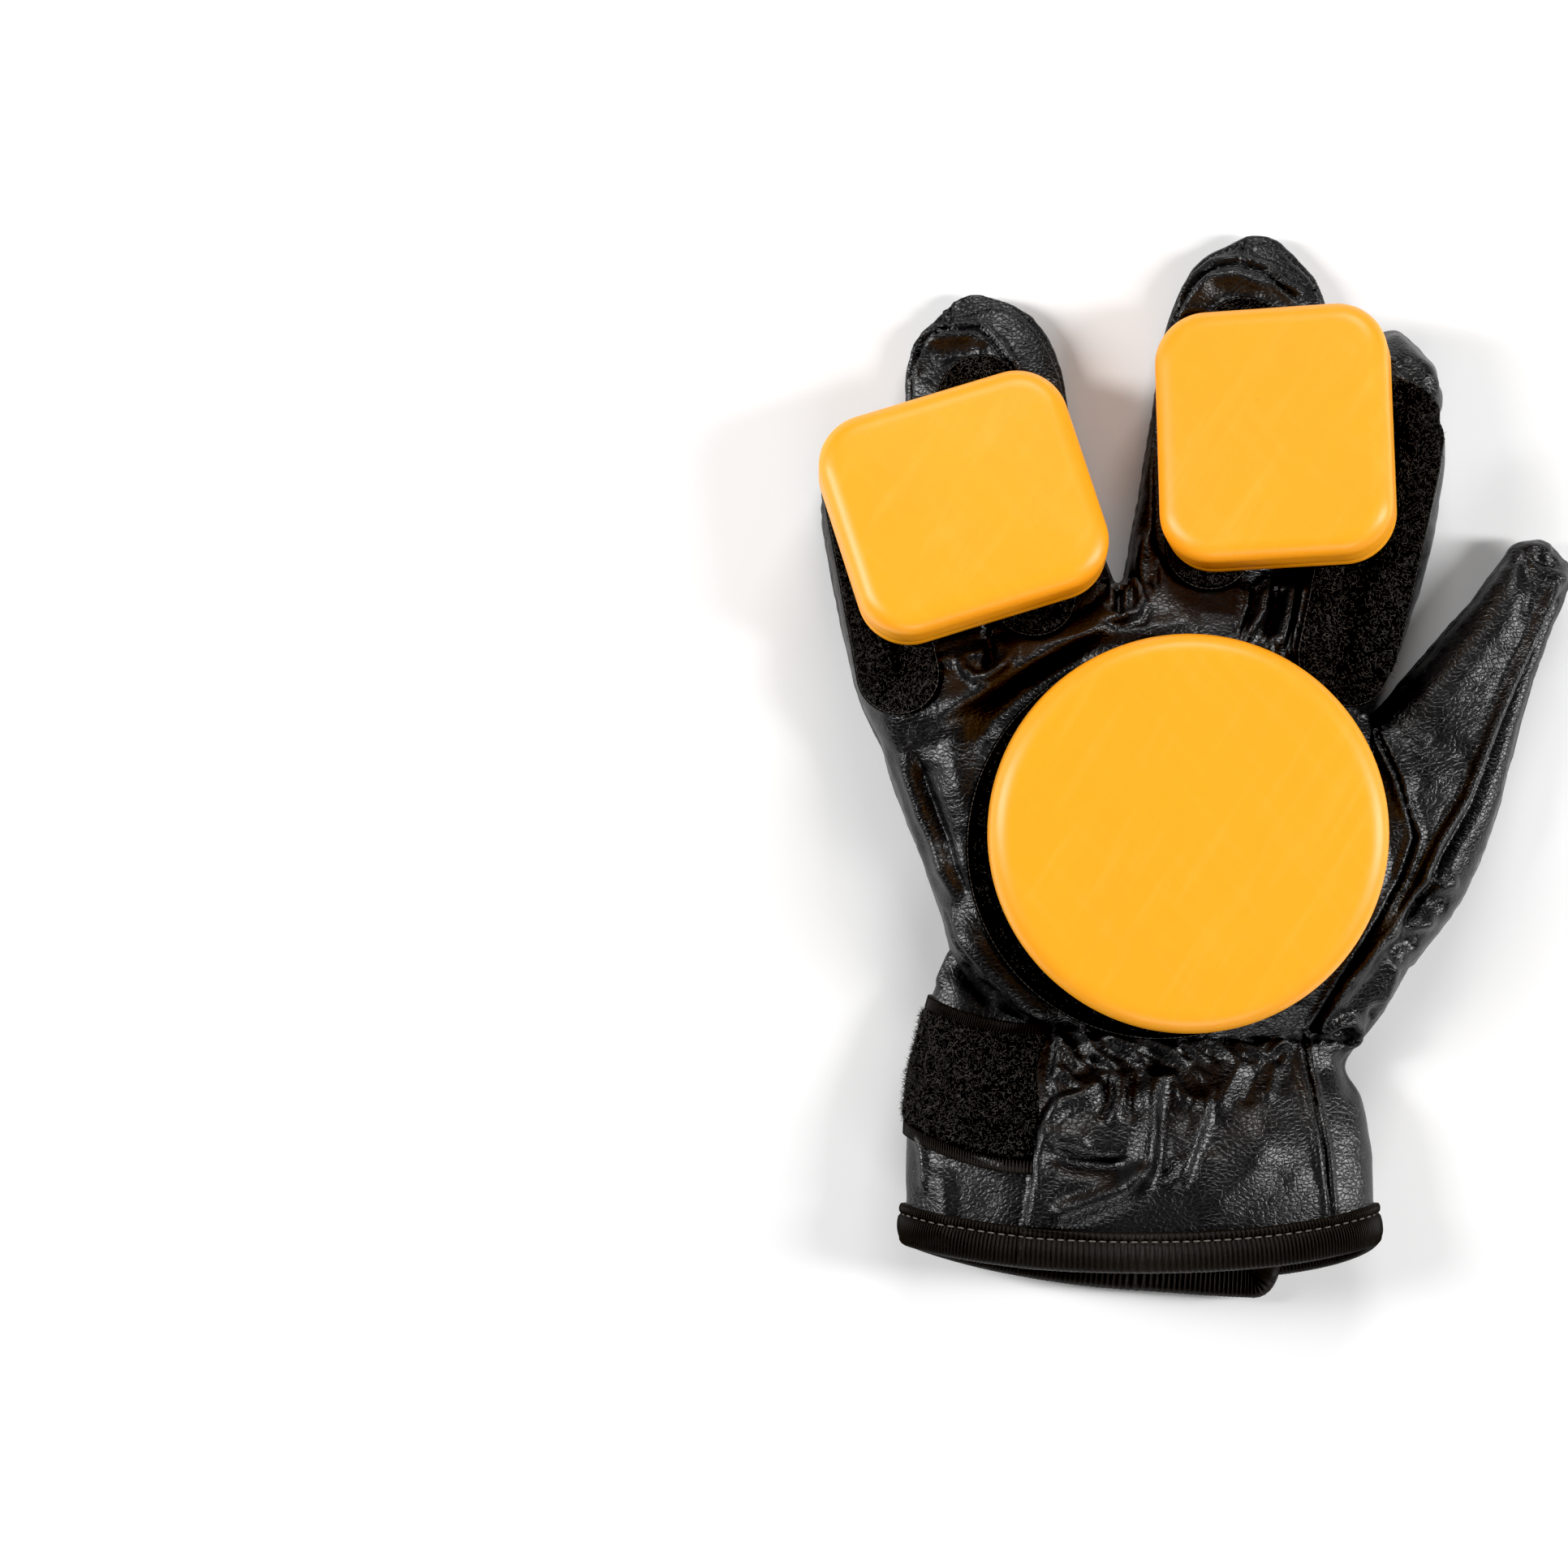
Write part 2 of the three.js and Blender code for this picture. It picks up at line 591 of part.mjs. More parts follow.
// The ribbed tape folded over the hem.
function hemBinding() {
  const outside = GAP + BINDING_THICKNESS;
  const profile = [
    [outside, BINDING_WIDTH],
    [outside, -GAP],
    [-WALL / 2, -outside],
    [-WALL - outside, -GAP],
    [-WALL - outside, BINDING_WIDTH],
    [-WALL - GAP, BINDING_WIDTH],
    [-WALL - GAP, -GAP],
    [GAP, -GAP],
    [GAP, BINDING_WIDTH],
  ];
  const rings = Array.from({ length: CUFF_STEPS + 1 }, (_, i) => {
    const angle = cuffAngle(i);
    const hem = hemReach(angle);
    return profile.map(([offset, back]) => cuffPoint(angle, hem - back, offset));
  });
  const points = rings.flat();
  const count = profile.length;
  const triangles = [];
  for (let i = 0; i < CUFF_STEPS; i++) {
    for (let j = 0; j < count; j++) {
      const a = i * count + j;
      const b = i * count + ((j + 1) % count);
      triangles.push([a, b, a + count], [b, b + count, a + count]);
    }
  }
  const outline = profile.map(([x, y]) => new THREE.Vector2(x, y));
  const cap = THREE.ShapeUtils.triangulateShape(outline, []);
  const end = CUFF_STEPS * count;
  for (const [a, b, c] of cap) triangles.push([a, b, c], [end + a, end + c, end + b]);
  return closedGeometry(points, triangles);
}

// A strip of tape on the cuff, between two steps round it and two rows down it.
function cuffStrip(strip, offset, thickness) {
  return sheet(strip.toStep - strip.fromStep, strip.toRow - strip.fromRow, (i, j, side) =>
    cuffSpot(strip.fromStep + i, strip.fromRow + j, offset + (side ? thickness : 0)),
  );
}

// Builds one named mesh in one of the object's materials.
function piece(name, geometry, material) {
  const mesh = new THREE.Mesh(geometry, material);
  mesh.name = name;
  return mesh;
}

const materials = Object.fromEntries(
  Object.entries(COLOURS).map(([name, look]) => [name, new THREE.MeshStandardMaterial(look)]),
);

const glove = new THREE.Group();

// Leather: the hand's two panels, the thumb that is set into them, and the cuff
const handOuter = handSkin(0);
const handGrown = handSkin(GAP);
const thumbHollow = digitSolid("thumb", -WALL);
const handShell = handOuter.subtract(handSkin(-WALL)).subtract(thumbHollow);
for (const [handPart, fingerPart, palmSide] of [
  ["palm_panel", "_front", true],
  ["back_panel", "_back", false],
]) {
  const half = handShell.intersect(sideOfSeam(palmSide));
  let hand = half;
  FINGERS.forEach((name, i) => {
    const cut = half.intersect(fingerZone(i, -GAP / 2));
    glove.add(piece(name + fingerPart, geometryOf(cut), materials.leather));
    hand = hand.subtract(fingerZone(i, GAP / 2));
  });
  glove.add(piece(handPart, geometryOf(hand), materials.leather));
}
const thumbShell = digitSolid("thumb", 0).subtract(thumbHollow).subtract(handGrown);
glove.add(piece("thumb", geometryOf(thumbShell), materials.leather));
glove.add(piece("cuff", geometryOf(solidOf(cuffSheet()).subtract(handGrown)), materials.leather));
glove.add(piece("hem_binding", hemBinding(), materials.binding));

// Loop patches, laid on the leather
const patchSkin = handSkin(GAP + PATCH_THICKNESS).subtract(handGrown).intersect(sideOfSeam(true));

// Where a patch lies on its finger, and how long it is.
function stretchOf(name, patch) {
  const from = digitPoint(name, patch.from);
  const to = digitPoint(name, patch.to);
  const run = to.clone().sub(from);
  const aside = new THREE.Vector3(run.y, -run.x, 0).setLength(patch.aside * digitWidth(name));
  const middle = from.add(to).multiplyScalar(0.5).add(aside);
  const turn = Math.atan2(-run.x, run.y);
  return { length: run.length(), frame: new THREE.Matrix4().makeRotationZ(turn).setPosition(middle) };
}
for (const [name, patch] of Object.entries(FINGER_PATCHES)) {
  const { length, frame } = stretchOf(name, patch);
  const width = patch.wide * digitWidth(name);
  const outline = roundedOutline(width, length, width / 2);
  const cut = patchSkin.intersect(prism(outline, 0, 2 * PALM_THICKNESS, frame, PATCH_END_SEGMENTS));
  glove.add(piece(name + "_patch", geometryOf(cut), materials.loop));
}
const palmPatch = prism(
  circleOutline(PALM_PATCH_DIAMETER),
  0,
  2 * PALM_THICKNESS,
  new THREE.Matrix4().makeTranslation(PALM_PATCH_X, PALM_PATCH_Y, 0),
  PATCH_SEGMENTS,
);
glove.add(piece("palm_patch", geometryOf(patchSkin.intersect(palmPatch)), materials.loop));

// Pucks, each on a hook pad
const PAD_BOTTOM = GAP + PATCH_THICKNESS + GAP;
const PAD_TOP = PAD_BOTTOM + HOOK_THICKNESS;

function puckGeometry(puck) {
  const bottom = PAD_TOP + GAP;
  const top = bottom + puck.thickness;
  const rims = [
    { inset: PUCK_FOOT_EDGE, height: bottom },
    { inset: 0, height: bottom + PUCK_FOOT_EDGE },
  ];
  for (let i = 0; i <= EDGE_STEPS; i++) {
    const turn = (i / EDGE_STEPS) * (Math.PI / 2);
    rims.push({ inset: PUCK_EDGE * (1 - Math.cos(turn)), height: top - PUCK_EDGE * (1 - Math.sin(turn)) });
  }
  return loft(rims.map((rim) => outlinePoints(puck, -rim.inset).map((p) => new THREE.Vector3(p.x, p.y, rim.height))));
}
for (const [name, puck] of Object.entries(PUCKS)) {
  const segments = puck.round ? SEAT_SEGMENTS : CORNER_SEGMENTS;
  const pad = prism(puckOutline(puck, -HOOK_INSET), PAD_BOTTOM, PAD_TOP, new THREE.Matrix4(), segments);
  for (const [part, geometry, material] of [
    [name, puckGeometry(puck), materials.puck],
    [name + "_hook", geometryOf(pad), materials.hook],
  ]) {
    const mesh = piece(part, geometry, material);
    mesh.applyMatrix4(puck.seat);
    glove.add(mesh);
  }
}

// The wrist closure: loop tape round the little finger's side, and the hook strip inside the tab that laps it
glove.add(piece("wrist_loop_tape", cuffStrip(WRIST_TAPE, GAP, TAPE_THICKNESS), materials.loop));
glove.add(piece("tab_hook_strip", cuffStrip(HOOK_STRIP, -WALL - GAP - HOOK_THICKNESS, HOOK_THICKNESS), materials.hook));

export default glove;
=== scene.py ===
"""A right-hand longboard slide glove on its back, palm up, with its three slide pucks held on by hook pads.

Sizes and tables are in millimetres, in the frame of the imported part: +X to the thumb side, +Y to the
fingertips and +Z out of the palm, from the surface that the glove lies on, straight below the centre of the
palm puck. Blender's meshes are in metres.
"""

import logging
import math
from dataclasses import dataclass, field
from enum import Enum

import bpy
import numpy as np
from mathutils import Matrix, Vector
from mathutils.bvhtree import BVHTree


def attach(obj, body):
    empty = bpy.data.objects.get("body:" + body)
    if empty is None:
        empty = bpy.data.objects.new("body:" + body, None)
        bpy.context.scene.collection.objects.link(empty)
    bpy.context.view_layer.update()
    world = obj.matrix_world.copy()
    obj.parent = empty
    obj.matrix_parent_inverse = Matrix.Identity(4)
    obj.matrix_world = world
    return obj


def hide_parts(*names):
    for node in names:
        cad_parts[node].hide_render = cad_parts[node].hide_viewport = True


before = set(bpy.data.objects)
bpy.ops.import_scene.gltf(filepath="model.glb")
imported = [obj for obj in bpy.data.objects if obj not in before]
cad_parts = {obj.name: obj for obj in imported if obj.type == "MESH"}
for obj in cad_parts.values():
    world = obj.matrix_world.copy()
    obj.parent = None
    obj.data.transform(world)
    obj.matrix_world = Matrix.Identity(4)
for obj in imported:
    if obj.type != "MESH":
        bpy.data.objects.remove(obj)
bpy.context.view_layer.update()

log = logging.getLogger("slide_glove")

METRES = 0.001

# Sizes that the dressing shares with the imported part
WALL = 1.6
GAP = 0.3
PATCH_THICKNESS = 1.4
HOOK_THICKNESS = 1.0
TAPE_THICKNESS = 1.2
WRIST_REACH = 50.0
KNUCKLE_REACH = 60.0
PALM_WIDTH = 124.0
PALM_THICKNESS = 31.0
MIDDLE_FINGER_LENGTH = 116.0
SEAM_HEIGHT = 11.0
SEAM_DROP = math.tan(math.radians(1.6))
REST_SINK = 0.7
ROUND_POWER = 2.35
HAND_POWER = 2.6
SEAT_PRESS = 1.2
SEAT_MARGIN = 2.6

# How far a fold is felt, by its width, and how its ends fade
FOLD_REACH = 3.0
END_SLACK = 0.02
# A seam's banks beside its groove, by the groove's width and depth
SEAM_TAPER = 0.03
BANK_PLACE = 2.2
BANK_WIDTH = 1.5
BANK_HEIGHT = 0.55

# The hem's binding and the ribs of its tape
BINDING_THICKNESS = 0.8
RIB_PITCH = 0.9
RIB_DEPTH = 0.4

# Fibres of the pile: length and by what shares it varies, the bend outwards and up, and the tip's height
FIBRE_LENGTH = 1.1
FIBRE_LENGTHS = (0.6, 1.3)
FIBRE_THICKNESS = 0.11
FIBRE_THINNING = 0.8
FIBRE_BEND = (0.45, 0.28)
FIBRE_TIP = (-0.05, 0.3)
FIBRE_ROOT = 0.15
# A stitch: widths at shares of its length, its section, and how far it bows up
STITCH_WIDTHS = ((0.0, 0.45), (0.25, 0.95), (0.5, 1.0), (0.75, 0.95), (1.0, 0.45))
STITCH_SECTION = ((1, 0), (0.5, 0.8), (-0.5, 0.8), (-1, 0), (-0.5, -0.8), (0.5, -0.8))
STITCH_SINK = 0.6

# What keeps a corner or a division away from nothing
TINY = 1e-6
NO_LENGTH = 1e-9

Line = tuple[float, ...]
Colour = tuple[float, float, float, float]


class Profile(Enum):
    """What a fold looks like across: a ridge, a sewn groove, or an edge that steps up on its right."""

    RIDGE = "ridge"
    SEAM = "seam"
    STEP = "step"


def smooth_step(value: np.ndarray, low: float, high: float) -> np.ndarray:
    """Returns 0 below low, 1 above high and a smooth rise between them."""
    share = np.clip((value - low) / (high - low), 0.0, 1.0)
    return share * share * (3.0 - 2.0 * share)


@dataclass(frozen=True)
class Undulation:
    """Smooth seeded noise that comes out the same at each run."""

    seed: int
    cells: int = 24

    def at(self, points: np.ndarray, size: float) -> np.ndarray:
        """Reads the noise at points.

        Args:
            points: n by 3 array of places, in millimetres.
            size: how far one swell is from the next, in millimetres.

        Returns:
            n values between -1 and 1.
        """
        table = np.random.default_rng(self.seed).uniform(-1.0, 1.0, (self.cells,) * 3)
        scaled = points / size
        low = np.floor(scaled).astype(int)
        part = scaled - low
        part = part * part * (3.0 - 2.0 * part)
        total = np.zeros(len(points))
        for corner in np.ndindex(2, 2, 2):
            index = tuple((low[:, axis] + corner[axis]) % self.cells for axis in range(3))
            weight = np.ones(len(points))
            for axis in range(3):
                weight = weight * (part[:, axis] if corner[axis] else 1.0 - part[:, axis])
            total += weight * table[index]
        return total

    def layers(self, points: np.ndarray, swells: tuple) -> np.ndarray:
        """Adds up the noise at several sizes.

        Args:
            points: n by 3 array of places.
            swells: each one's shift from the points, its size and its height.

        Returns:
            The sum at each point.
        """
        total = np.zeros(len(points))
        for shift, size, height in swells:
            total += self.at(points + shift, size) * height
        return total


def near_line(places: np.ndarray, line: Line) -> tuple[np.ndarray, np.ndarray, np.ndarray]:
    """Measures places against a line of straight stretches, seen from above.

    Args:
        places: n by 2 array of x and y.
        line: the x and y of the line's corners, in turn.

    Returns:
        The signed distance from the line, positive on its right, the share of its length that is passed,
        and the nearest place on it.
    """
    corners = np.array(line, float).reshape(-1, 2)
    lengths = np.linalg.norm(np.diff(corners, axis=0), axis=1)
    passed = np.concatenate(([0.0], np.cumsum(lengths)))
    best = np.full(len(places), np.inf)
    signed = np.zeros(len(places))
    share = np.zeros(len(places))
    foot = np.zeros((len(places), 2))
    for start, end, length, before in zip(corners, corners[1:], lengths, passed):
        run = (end - start) / length
        away = places - start
        along = np.clip(away @ run, 0.0, length)
        nearest = start + along[:, None] * run
        distance = np.linalg.norm(places - nearest, axis=1)
        side = away[:, 0] * run[1] - away[:, 1] * run[0]
        closer = distance < best
        best = np.where(closer, distance, best)
        signed = np.where(closer, np.copysign(distance, side), signed)
        share = np.where(closer, (before + along) / passed[-1], share)
        foot = np.where(closer[:, None], nearest, foot)
    return signed, share, foot


@dataclass(frozen=True)
class Fold:
    """One fold, seam or edge in the leather, drawn from above.

    A line holds the x and y of its corners in turn. After it come the fold's height and width, its profile,
    its width on the right where that differs, the share of its length that each end fades over, and whether
    it also lifts the upright sides.
    """

    line: Line
    rise: float
    spread: float
    profile: Profile = Profile.RIDGE
    right_spread: float = 0.0
    taper: float = 0.22
    wraps: bool = False

    def lift(self, places: np.ndarray) -> np.ndarray:
        """Works out how far the fold lifts the leather.

        Args:
            places: n by 2 array of x and y.

        Returns:
            The lift at each place.
        """
        corners = np.array(self.line, float).reshape(-1, 2)
        reach = FOLD_REACH * max(self.spread, self.right_spread)
        inside = np.all((places > corners.min(0) - reach) & (places < corners.max(0) + reach), axis=1)
        lift = np.zeros(len(places))
        if not inside.any():
            return lift
        distance, share, _ = near_line(places[inside], self.line)
        right = self.right_spread or self.spread
        hump = np.exp(-((distance / np.where(distance > 0, right, self.spread)) ** 2))
        taper = self.taper
        if self.profile is Profile.SEAM:
            taper = SEAM_TAPER
            beside = np.abs(distance) - BANK_PLACE * self.spread
            hump = BANK_HEIGHT * np.exp(-((beside / (BANK_WIDTH * self.spread)) ** 2)) - hump
        if self.profile is Profile.STEP:
            rising = smooth_step(distance, -self.spread, self.spread)
            hump = rising * np.exp(-np.clip(distance, 0.0, None) / right)
        fade = smooth_step(share, -END_SLACK, taper)
        fade = fade * (1.0 - smooth_step(share, 1.0 - taper, 1.0 + END_SLACK))
        lift[inside] = self.rise * hump * fade
        return lift


# The leather's folds, seams and edges on the palm's side
HAND_FOLDS = (
    # from the little finger's edge over the knuckles to the middle finger
    Fold((-63.8, 24.1, -56.2, 29.9, -45.5, 36, -32.8, 43.2, -20.9, 49.6, -12, 51), 4.2, 4.6,
         right_spread=2.6),
    Fold((-17, 50.6, -10.2, 49, -3.8, 49.6, 5, 51.8), 1.4, 2.8),
    # the slope from that ridge down to the little finger's edge
    Fold((-66, 28, -64, 16, -60, 3, -56, -8), -2.4, 5.0),
    Fold((-57, 22, -54.4, 10, -51, -2), 1.2, 4.0),
    # the hollow between that ridge and the palm puck
    Fold((-53, 17, -46, 27, -38, 34, -28, 41, -18, 44.6), -2.8, 3.6),
    # along the little finger's edge of the hand
    Fold((-69.9, 21.4, -66.2, 12.2, -63.1, 3.8, -59.5, -4.1, -56, -11.9, -53.5, -17.8), 2.2, 1.7),
    Fold((-67.2, 21.4, -63.6, 12.2, -60.4, 3.8, -56.8, -4.1, -53.4, -11.9, -50.9, -17.8), -1.3, 1.2),
    Fold((-61, 16, -57.5, 6, -53.6, -5, -50.5, -14), 1.1, 2.4),
    # round the heel of the hand
    Fold((-55.5, -17.7, -51.5, -25, -45.2, -34, -37.8, -41, -28, -47.2), 3.2, 3.4, right_spread=2.4),
    Fold((-57, -19, -52.6, -27, -47.6, -34.5), 0.9, 0.5, Profile.SEAM),
    # pucker between the little finger and the ring finger
    Fold((-54.6, 52, -54.2, 44, -52.9, 39.5, -51.3, 37.4), 3.6, 1.1, right_spread=0.8, taper=0.1),
    Fold((-52.9, 39, -50, 36.9, -47, 37.2, -44.1, 38.9, -42.6, 41.4), 3.8, 1.0, taper=0.15),
    Fold((-46.4, 52, -43.9, 49.2, -41.2, 45.6, -41.7, 42.1, -43.5, 38.9), 3.6, 1.1, taper=0.1),
    Fold((-47.6, 52, -46.9, 46, -46, 41.2, -48.2, 39.4), -4.2, 1.2, taper=0.1),
    Fold((-51, 50, -50.4, 42), 1.4, 1.5),
    # rim of the fork between the ring finger and the middle finger
    Fold((-17.6, 61, -19.8, 58.3, -20.7, 55.8, -20, 53.2, -17.8, 51.6, -15.1, 51), 3.4, 0.85, taper=0.08),
    Fold((-12.6, 61, -10.4, 58.3, -9.6, 55.8, -11.3, 52.7, -15.1, 51), 3.4, 0.85, taper=0.08),
    Fold((-15.2, 62.7, -15.2, 58, -15.3, 53.2), -4.0, 0.9, taper=0.1),
    Fold((-18.2, 60, -18.4, 56, -17.2, 53.6), -1.2, 0.7),
    Fold((-12.4, 60, -12.2, 56, -13.2, 53.6), -1.2, 0.7),
    Fold((-21.8, 59, -22.6, 55, -21, 51, -15.1, 49.2, -9.6, 50.6, -7.6, 55), -1.0, 0.8),
    # folds between the middle finger and the index finger
    Fold((20.4, 63, 20, 58.5, 18.9, 52.8, 15.9, 48.3, 15.5, 45.2), 3.3, 1.1, right_spread=0.8),
    Fold((17.9, 62, 17.2, 56, 15, 49.5, 13.8, 46), -1.6, 0.7),
    Fold((15.6, 60, 14.9, 54, 12.8, 48.5), 0.9, 1.1),
    Fold((27.2, 62, 26.7, 58.5, 25.1, 51.8, 22.6, 43), 3.0, 1.2),
    Fold((23.4, 60, 22.4, 53, 20, 46.5), -2.2, 1.4),
    Fold((31.4, 62, 29.4, 52.8, 26.9, 44.4, 27.8, 40.4), 2.2, 1.1),
    Fold((29, 58, 27.2, 51, 25, 44.6), -1.2, 0.8),
    Fold((22.4, 48.6, 20.6, 45.4, 20.8, 42.4), 1.3, 0.8),
    # beside the pucks, along the middle finger
    Fold((-7.8, 74, -9.4, 66, -8.8, 57), 1.2, 1.5),
    Fold((-5.8, 74, -6.2, 66, -6.6, 57), -1.0, 0.9),
    # caps of the fingertips
    Fold((-65.2, 112, -61.8, 120.8, -57.1, 123, -48.2, 123.2, -44.6, 119.4, -40.4, 113.2), 1.6, 0.55,
         Profile.SEAM),
    Fold((-55.7, 129.6, -55.6, 123.6), 1.1, 0.45, Profile.SEAM),
    Fold((-62, 119.6, -56.5, 120.7, -50, 121, -46.6, 118), 1.7, 1.3),
    Fold((-60, 115.4, -54, 117.4, -48.6, 116.4), -1.2, 1.8),
    Fold((-1.9, 121, 0.3, 128.2, 4.2, 134.3, 9.2, 138.2, 15.1, 138.9, 21, 137.2, 25.6, 132.8, 29.4, 130.6),
         1.6, 0.6, Profile.SEAM),
    Fold((16.3, 144.2, 15.9, 139.2), 1.1, 0.45, Profile.SEAM),
    Fold((3, 129, 8, 135, 14.6, 135.9, 20.6, 133.6, 24.6, 130), 1.7, 1.4),
    Fold((4, 126.2, 12, 131.4, 21, 129), -1.2, 1.9),
    Fold((22.4, 134.8, 24.4, 132, 27.4, 130.8), 1.0, 0.5),
    Fold((50.5, 119.6, 56, 116.6, 60.4, 111.4, 62.8, 105.6), 1.5, 1.7),
    Fold((51.5, 113.6, 55, 111.4, 58.4, 106.4), -1.2, 1.5),
    Fold((66.6, 101, 58, 98), -1.1, 2.4, wraps=True),
    Fold((66.6, 107.4, 60, 107.4), 1.1, 3.0, wraps=True),
    Fold((49, 121.5, 56, 116, 63, 109), 2.3, 4.6, wraps=True),
    # strip of leather beside the index finger's patch
    Fold((61.6, 95, 60.4, 86, 57.4, 74, 54, 64), 1.3, 1.2),
    # where the index finger's side meets the palm
    Fold((38, 34, 41, 30, 44.5, 28), -1.4, 1.6),
)

THUMB_FOLDS = (
    # the seam that the thumb is set in by
    Fold((45.9, 29.4, 47.1, 27.4, 49.6, 20.8, 52.6, 13.8, 54.9, 5.5, 56.8, -1.1), 2.4, 1.0, Profile.STEP,
         right_spread=7.0),
    Fold((45.4, 29.4, 46.4, 27.4, 48.9, 20.8, 51.9, 13.8, 54.2, 5.5, 56.1, -1.1, 52.4, -12, 45.6, -23.4,
         38.4, -34.4, 30.7, -47.8), 1.5, 0.55, Profile.SEAM),
    # from the crotch over the ball of the thumb
    Fold((49, 27, 52.6, 18, 55.6, 8), 0.9, 1.8),
    Fold((54.5, 28.7, 67.3, 38.5, 77.1, 50.2, 83.6, 64.9), 1.5, 5.0),
    Fold((58, 22, 66, 20, 72, 16), -0.9, 3.4),
    # the edge that runs from the tip to the wrist
    Fold((92.2, 62.6, 88.6, 55.6, 85.4, 48.4, 81, 39, 76.4, 28.6, 72.4, 19.4, 68, 8.4, 61.4, -2.2, 56.6,
         -12.6, 48, -24.4, 39.4, -35), 3.2, 2.4, right_spread=0.9, taper=0.08),
    Fold((94.6, 60.6, 90.4, 53, 87.2, 45.6, 82.9, 36, 78.6, 25.6, 74.4, 15.4, 70, 5.4, 64, -4.6, 58.8, -15,
         50.6, -26), -2.8, 1.6, taper=0.1),
    Fold((95.6, 62, 93.2, 50, 89.4, 38, 84.6, 25.6, 79.6, 12, 74, 0), 1.3, 1.8),
    # tip
    Fold((90.6, 75, 97, 67), -1.6, 2.6, wraps=True),
    Fold((83, 70.6, 84.4, 66, 85.2, 58, 83.6, 50), -1.3, 2.0),
    Fold((84, 71.4, 87.8, 69.6, 91.6, 68.6), 1.2, 1.3),
    Fold((86.4, 67.6, 88.9, 66, 92.4, 65.2), -1.8, 1.1),
    Fold((88, 64.4, 91.4, 62.4, 94.8, 61.4), 1.1, 1.2),
    # cross folds on the ball of the thumb, down to the wrist
    Fold((57, -10, 62, -13, 67.6, -11.4), 1.6, 2.0),
    Fold((54.6, -16.4, 60, -17.6, 64.8, -16.4), -1.8, 2.0),
    Fold((48.4, -27, 53, -22.6, 58.8, -22, 62.6, -20.6), 1.9, 1.6),
    Fold((50, -31, 52.4, -27, 57.6, -26.2), -1.6, 1.7),
    Fold((49, -42, 50.4, -36, 51.8, -30), 1.1, 1.6),
    Fold((46, -30, 40, -36.9, 35.7, -42.6, 32.7, -48.4), 1.2, 2.0),
    Fold((31.6, -49.6, 34, -47.4, 38, -45.4, 41, -45, 43.2, -47.4, 42.6, -51, 40.4, -54.2), 2.4, 1.3),
    Fold((34.6, -50.4, 38.6, -48.4, 40, -50.6), -1.6, 1.1),
    Fold((46.6, -41, 47.4, -46, 44.6, -51, 41.4, -55), -1.8, 1.2),
    Fold((49.6, -40, 50.2, -46, 46.8, -51.6), 1.3, 1.3),
)

# The last of the thumb's folds, which run on over the cuff
WRIST_FOLDS = THUMB_FOLDS[-5:]

# The thumb's set-in seam, from the wrist over the palm's side, and on between the thumb and the index finger
THUMB_SEAM = (30.7, -60, 30.7, -47.6, 38.4, -34.4, 45.6, -23.4, 52.4, -12, 56.1, -1.1, 54.2, 5.5, 51.9,
              13.8, 48.9, 20.8, 45.4, 29.4, 68, 66, 90, 110)

BACK_FOLDS = (
    Fold((-52, 34, -30, 42, 0, 45, 30, 40), 1.2, 4.0),
    Fold((-58, 10, -20, 18, 20, 14, 48, 4), 0.9, 5.0),
    Fold((-46, -20, -10, -12, 30, -20), 0.8, 4.5),
    Fold((-40, -36, 0, -33, 36, -38), 1.1, 2.6),
)

